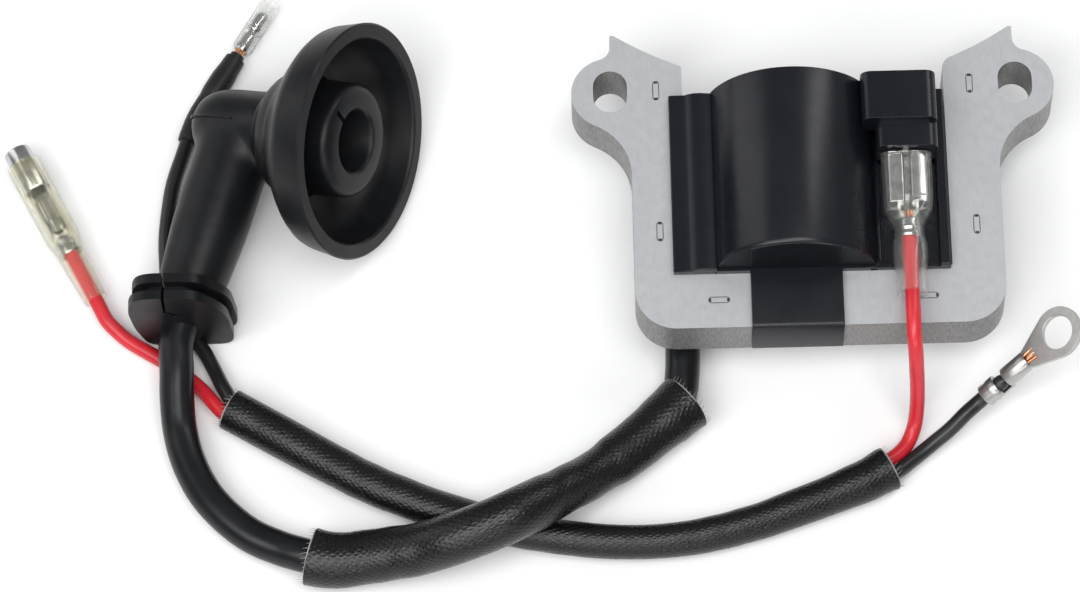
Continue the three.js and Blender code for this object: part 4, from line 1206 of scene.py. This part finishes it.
def make_connector():
    """Tin receptacle: floor, two sides rolled over the blade, neck, and a crimp round the wire."""
    front, back = 1.6, -6.6
    half, floor, top = 3.15, 18.3, 21.6
    outside = [
        (0, floor), (half - 0.5, floor), (half - 0.1, floor + 0.25), (half, floor + 0.8),
        (half, top - 1.0), (half - 0.35, top - 0.3), (half - 1.1, top), (1.2, top), (0.7, top),
    ]
    inside = [(0.45, 21.35), (0.45, 20.0), (0.8, 19.75), (2.55, 19.7), (2.6, 18.65), (0, 18.6)]
    right = outside + inside
    left = [(-x, z) for x, z in reversed(right) if x > 0]
    section = [(BLADE_X + x, z) for x, z in right + left]
    mesh = bmesh.new()
    prism(mesh, section, along_y, back, front)
    receptacle = publish("connector_receptacle", mesh, "tin_plate", "stop_connector")
    soften(receptacle, 0.00012, 2)
    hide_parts("push_on_connector")
    mesh = bmesh.new()
    box(mesh, BLADE_X - 1.6, BLADE_X + 1.6, back - 2.9, back + 0.1, floor + 0.1, floor + 0.5)
    for side in (-1, 1):
        inner, outer = sorted((BLADE_X + side * 1.2, BLADE_X + side * 1.6))
        box(mesh, inner, outer, back - 2.9, back + 0.1, floor + 0.1, floor + 1.7)
        inner, outer = sorted((BLADE_X + side * 0.95, BLADE_X + side * 2.6))
        box(mesh, inner, outer, back + 0.9, back + 1.15, top - 0.06, top + 0.08)
    neck = publish("connector_neck", mesh, "tin_plate", "stop_connector")
    soften(neck, 0.0001, 2)
    crimp_matrix = facing_y(BLADE_X, back - 5.6, CONNECTOR_Z)
    crimp = turned("connector_crimp", [[
        (0, 1.2), (0, 1.6), (0.3, 1.75), (1.0, 1.6), (1.4, 1.78), (2.0, 1.6), (2.6, 1.74), (3.0, 1.6),
        (3.2, 1.2), (0, 1.2),
    ]], crimp_matrix, 32, "tin_plate", "stop_connector")
    mesh = bmesh.new()
    count = 7
    for i in range(count):
        angle = 2 * math.pi * i / count
        offset = Vector((math.cos(angle), 0, math.sin(angle))) * 0.5
        matrix = Matrix.Translation(offset * MM) @ crimp_matrix
        lathe(mesh, [(2.8, 0), (2.8, 0.2), (4.6, 0.2), (4.6, 0)], matrix, 8)
    strands = publish("connector_wire_strands", mesh, "copper_wire", "stop_connector")
    return [receptacle, neck, crimp, strands]


def make_connector_sleeve():
    """Clear sleeve, full width over the receptacle and necked down over the crimp and wire."""
    stations = [
        (1.5, 7.7, 4.4), (-2, 7.7, 4.4), (-6.4, 7.6, 4.4), (-7.6, 7.2, 4.4), (-8.6, 6.2, 4.5),
        (-9.6, 5.1, 4.6), (-10.6, 4.6, 4.6), (-11.8, 4.7, 4.7), (-13.2, 5.3, 5.0), (-14.8, 5.4, 5.0),
        (-17.5, 5.0, 4.9), (-21.3, 4.8, 4.8),
    ]
    sides, wall = 40, 0.38

    def ring(y, width, height, inset):
        """Superellipse that is squarer where the sleeve is wide."""
        squareness = 2.0 + 2.6 * max(0.0, min(1.0, (width - 5.2) / 2.4))
        points = []
        for i in range(sides):
            angle = 2 * math.pi * i / sides
            cosine, sine = math.cos(angle), math.sin(angle)
            x = math.copysign(abs(cosine) ** (2 / squareness), cosine) * (width / 2 - inset)
            z = math.copysign(abs(sine) ** (2 / squareness), sine) * (height / 2 - inset)
            points.append((BLADE_X + x, CONNECTOR_Z + z))
        return y, points

    mesh = bmesh.new()
    outer = [ring(y, w, h, 0) for y, w, h in stations]
    inner = [ring(y, w, h, wall) for y, w, h in reversed(stations)]
    rings = [[mesh.verts.new(along_y(x, z, y)) for x, z in points] for y, points in outer + inner]
    for first, second in zip(rings, rings[1:] + rings[:1]):
        for i in range(sides):
            j = (i + 1) % sides
            mesh.faces.new((first[i], first[j], second[j], second[i]))
    sleeve = publish(
        "connector_clear_sleeve", mesh, "clear_vinyl", "stop_connector_sleeve", smooth_angle=50
    )
    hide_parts("push_on_connector_sleeve")
    return sleeve


connector_pieces = make_connector()
connector_sleeve = make_connector_sleeve()

# ------------------------------------------------------------------ ends of the wires

socket_matrix = frame_on(socket_tail, socket_axis)
bullet_matrix = frame_on(bullet_start, bullet_axis)


def make_socket():
    """Female bullet socket of rolled tin plate with its crimps, in its clear cover."""
    mesh = bmesh.new()
    crimp = [
        (8.4, 1.3), (8.4, 1.7), (8.7, 1.85), (9.6, 1.7), (10.2, 1.85), (11.0, 1.7), (11.4, 1.3), (8.4, 1.3),
    ]
    waist = [
        (12.6, 0.7), (12.6, 1.35), (13.6, 1.45), (14.6, 1.35), (15.0, 1.0), (18.4, 1.0), (18.6, 0.7),
        (12.6, 0.7),
    ]
    barrel = [(20.4, 1.75), (20.4, 2.05), (20.6, 2.12), (27.4, 2.12), (27.8, 2.0), (27.8, 1.75), (20.4, 1.75)]
    for profile, sides in ((crimp, 32), (waist, 32), (barrel, 48)):
        lathe(mesh, profile, socket_matrix, sides)

    def at_socket(along, across, up):
        return socket_matrix @ (Vector((along, across, up)) * MM)

    floor = [(11.2, -1.1), (18.0, -1.1), (21.0, -1.7), (21.0, 1.7), (18.0, 1.1), (11.2, 1.1)]
    prism(mesh, floor, at_socket, -1.25, -0.95)
    wall = [
        (12.2, -1.1), (18.4, -1.1), (20.6, -0.6), (20.8, 1.5), (20.4, 1.5), (19.6, 0.9), (18.6, 0.0),
        (15.0, -0.2), (14.6, 1.0), (12.6, 1.0), (12.2, 0.0),
    ]
    for side in (-1, 1):

        def at_wall(along, up, across, side=side):
            return at_socket(along, side * across, up)

        prism(mesh, wall, at_wall, 1.15, 1.4)
    socket = publish("stop_wire_bullet_socket", mesh, "tin_plate", "module")
    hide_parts("stop_wire_socket")
    cover = turned("stop_wire_socket_clear_cover", [[
        (0, 1.45), (0, 1.78), (0.3, 1.85), (5, 2.1), (9.2, 2.25), (10.0, 2.36), (11.2, 2.66), (12.0, 2.75),
        (25.1, 2.75), (25.4, 2.6), (25.4, 2.42), (12.2, 2.42), (11.2, 2.3), (9.6, 1.97), (5, 1.8),
        (0.3, 1.5), (0, 1.45),
    ]], socket_matrix, 48, "yellowed_vinyl", "socket_cover", 50)
    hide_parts("stop_wire_socket_cover")
    return [socket, cover]


def make_bullet():
    """Bullet terminal in its clear cover, with the tube shrunk on the wire behind it."""
    bullet = turned("ground_wire_tin_bullet", [[
        (0.1, 0), (0.1, 1.1), (0.4, 1.2), (2.9, 1.2), (3.2, 1.05), (3.4, 0.8), (3.8, 0.8), (4.0, 1.1),
        (4.2, 1.2), (4.6, 1.2), (4.8, 1.0), (5.0, 1.15), (6.7, 1.15), (7.2, 0.95), (7.5, 0.6), (7.6, 0),
    ]], bullet_matrix, 32, "tin_plate", "module")
    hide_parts("ground_wire_bullet")
    cover = turned("ground_wire_bullet_clear_cover", [[
        (0.6, 1.3), (0.6, 1.6), (0.8, 1.65), (9.5, 1.65), (9.7, 1.55), (9.7, 1.3), (0.6, 1.3),
    ]], bullet_matrix, 32, "clear_vinyl", "module", 50)
    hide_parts("ground_wire_bullet_cover")
    shrink_length = 0.0172
    end = length_of(ground_path) - 0.0002
    covered = stretch(ground_path, end - shrink_length, end)
    shrink = tube(
        "ground_wire_shrunk_tube", covered, 0.0015, "shrink_tube", "module", 32, 0.0012,
        profile_along([(0, 0.98), (0.7, 1.04), (8.5, 1.06), (9.0, 1.2), (12, 1.25), (15, 1.1), (17, 1.02)]),
    )
    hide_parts("ground_wire_shrink_tube")
    mesh = bmesh.new()
    count = 9
    for i in range(count):
        angle = 2 * math.pi * i / count
        offset = Vector((0, math.cos(angle), math.sin(angle))) * 0.62 * MM
        strand = [(-0.9, 0), (-0.9, 0.15), (0.5, 0.15), (0.5, 0)]
        lathe(mesh, strand, bullet_matrix @ Matrix.Translation(offset), 8)
    strands = publish("ground_wire_bullet_strands", mesh, "copper_wire", "module")
    return [bullet, cover, shrink, strands]


def make_ring_terminal():
    """Open-barrel ring terminal: ring and tongue, wire crimp with copper ends, insulation crimp."""
    normal = Vector(mounts["ring_terminal_face"]["axis"]).normalized()
    ring_matrix = frame_on(ring_tail, ring_axis, normal)
    ring_at, ring_radius, hole_radius, tangent_turn = 15.6, 4.0, 2.6, 115
    mesh = bmesh.new()
    outline = [(8.8, -1.5), *arc(ring_at, 0, ring_radius, -tangent_turn, tangent_turn, 56), (8.8, 1.5)]
    hole = arc(ring_at, 0, hole_radius, 0, 352.5, 47)

    def flat(u, v, w):
        return ring_matrix @ (Vector((u, v, w)) * MM)

    prism(mesh, outline, flat, -0.4, 0.4, [hole])
    ring = publish("ground_ring", mesh, "ring_plate", "module", 25)
    soften(ring, 0.0001, 2)
    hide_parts("ground_ring_terminal")
    mesh = bmesh.new()
    wire_crimp = [(4.7, 1.0), (4.7, 1.5), (4.9, 1.62), (8.9, 1.55), (9.2, 1.4), (9.2, 1.0), (4.7, 1.0)]
    insulation_crimp = [
        (0.3, 1.15), (0.3, 1.7), (0.5, 1.8), (1.4, 1.68), (1.8, 1.8), (2.9, 1.78), (3.1, 1.65), (3.1, 1.15),
        (0.3, 1.15),
    ]
    lathe(mesh, wire_crimp, ring_matrix, 32)
    lathe(mesh, insulation_crimp, ring_matrix, 32)
    prism(mesh, [(2.9, -1.2), (5.0, -1.2), (5.0, 1.2), (2.9, 1.2)], flat, -1.5, -1.1)
    barrels = publish("ground_terminal_crimps", mesh, "ring_plate", "module")
    soften(barrels, 0.00008, 2)
    bulge = turned("ground_terminal_insulation_end", [
        [(1.5, 0), (1.5, 1.12), (3.4, 1.2), (4.0, 1.15), (4.5, 0.9), (4.5, 0)],
    ], ring_matrix, 24, "wire_black", "module")
    mesh = bmesh.new()
    count = 13
    fan_centre = Vector((9.0, 0, 0)) * MM
    for i in range(count):
        angle = 2 * math.pi * i / count
        reach = 0.35 + 0.55 * (i % 3) / 2
        offset = Vector((0, math.cos(angle) * reach, math.sin(angle) * reach * 0.8)) * MM
        fan = Matrix.Rotation(0.16 * math.cos(angle), 4, "Z")
        fanned = Matrix.Translation(fan_centre) @ fan @ Matrix.Translation(-fan_centre)
        tip = 10.4 + 0.5 * (i % 2)
        strand = [(4.4, 0), (4.4, 0.19), (tip, 0.19), (tip, 0)]
        lathe(mesh, strand, ring_matrix @ Matrix.Translation(offset) @ fanned, 8)
    strands = publish("ground_terminal_strands", mesh, "copper_wire", "module")
    return [ring, barrels, bulge, strands]


socket_pieces = make_socket()
bullet_pieces = make_bullet()
ring_pieces = make_ring_terminal()

# ------------------------------------------------------------------ CAD nodes that keep their shape

KEPT_NODES = (
    "stop_blade", "lead_contact", "plug_terminal_clip", "lead_spike", "potting_resin", "primary_bobbin",
    "primary_winding", "secondary_bobbin", "secondary_winding_1", "secondary_winding_2",
    "secondary_winding_3", "secondary_winding_4", "control_board", "ignition_transistor",
    "trigger_resistor", "bias_resistor", "clamp_diode",
)
slots = {entry["node"]: entry["material_slot"] for entry in frame["record"]["subparts"]}
for name in KEPT_NODES:
    node = frame["nodes"][name]
    node.data.materials.clear()
    node.data.materials.append(MATERIALS[slots[name]])
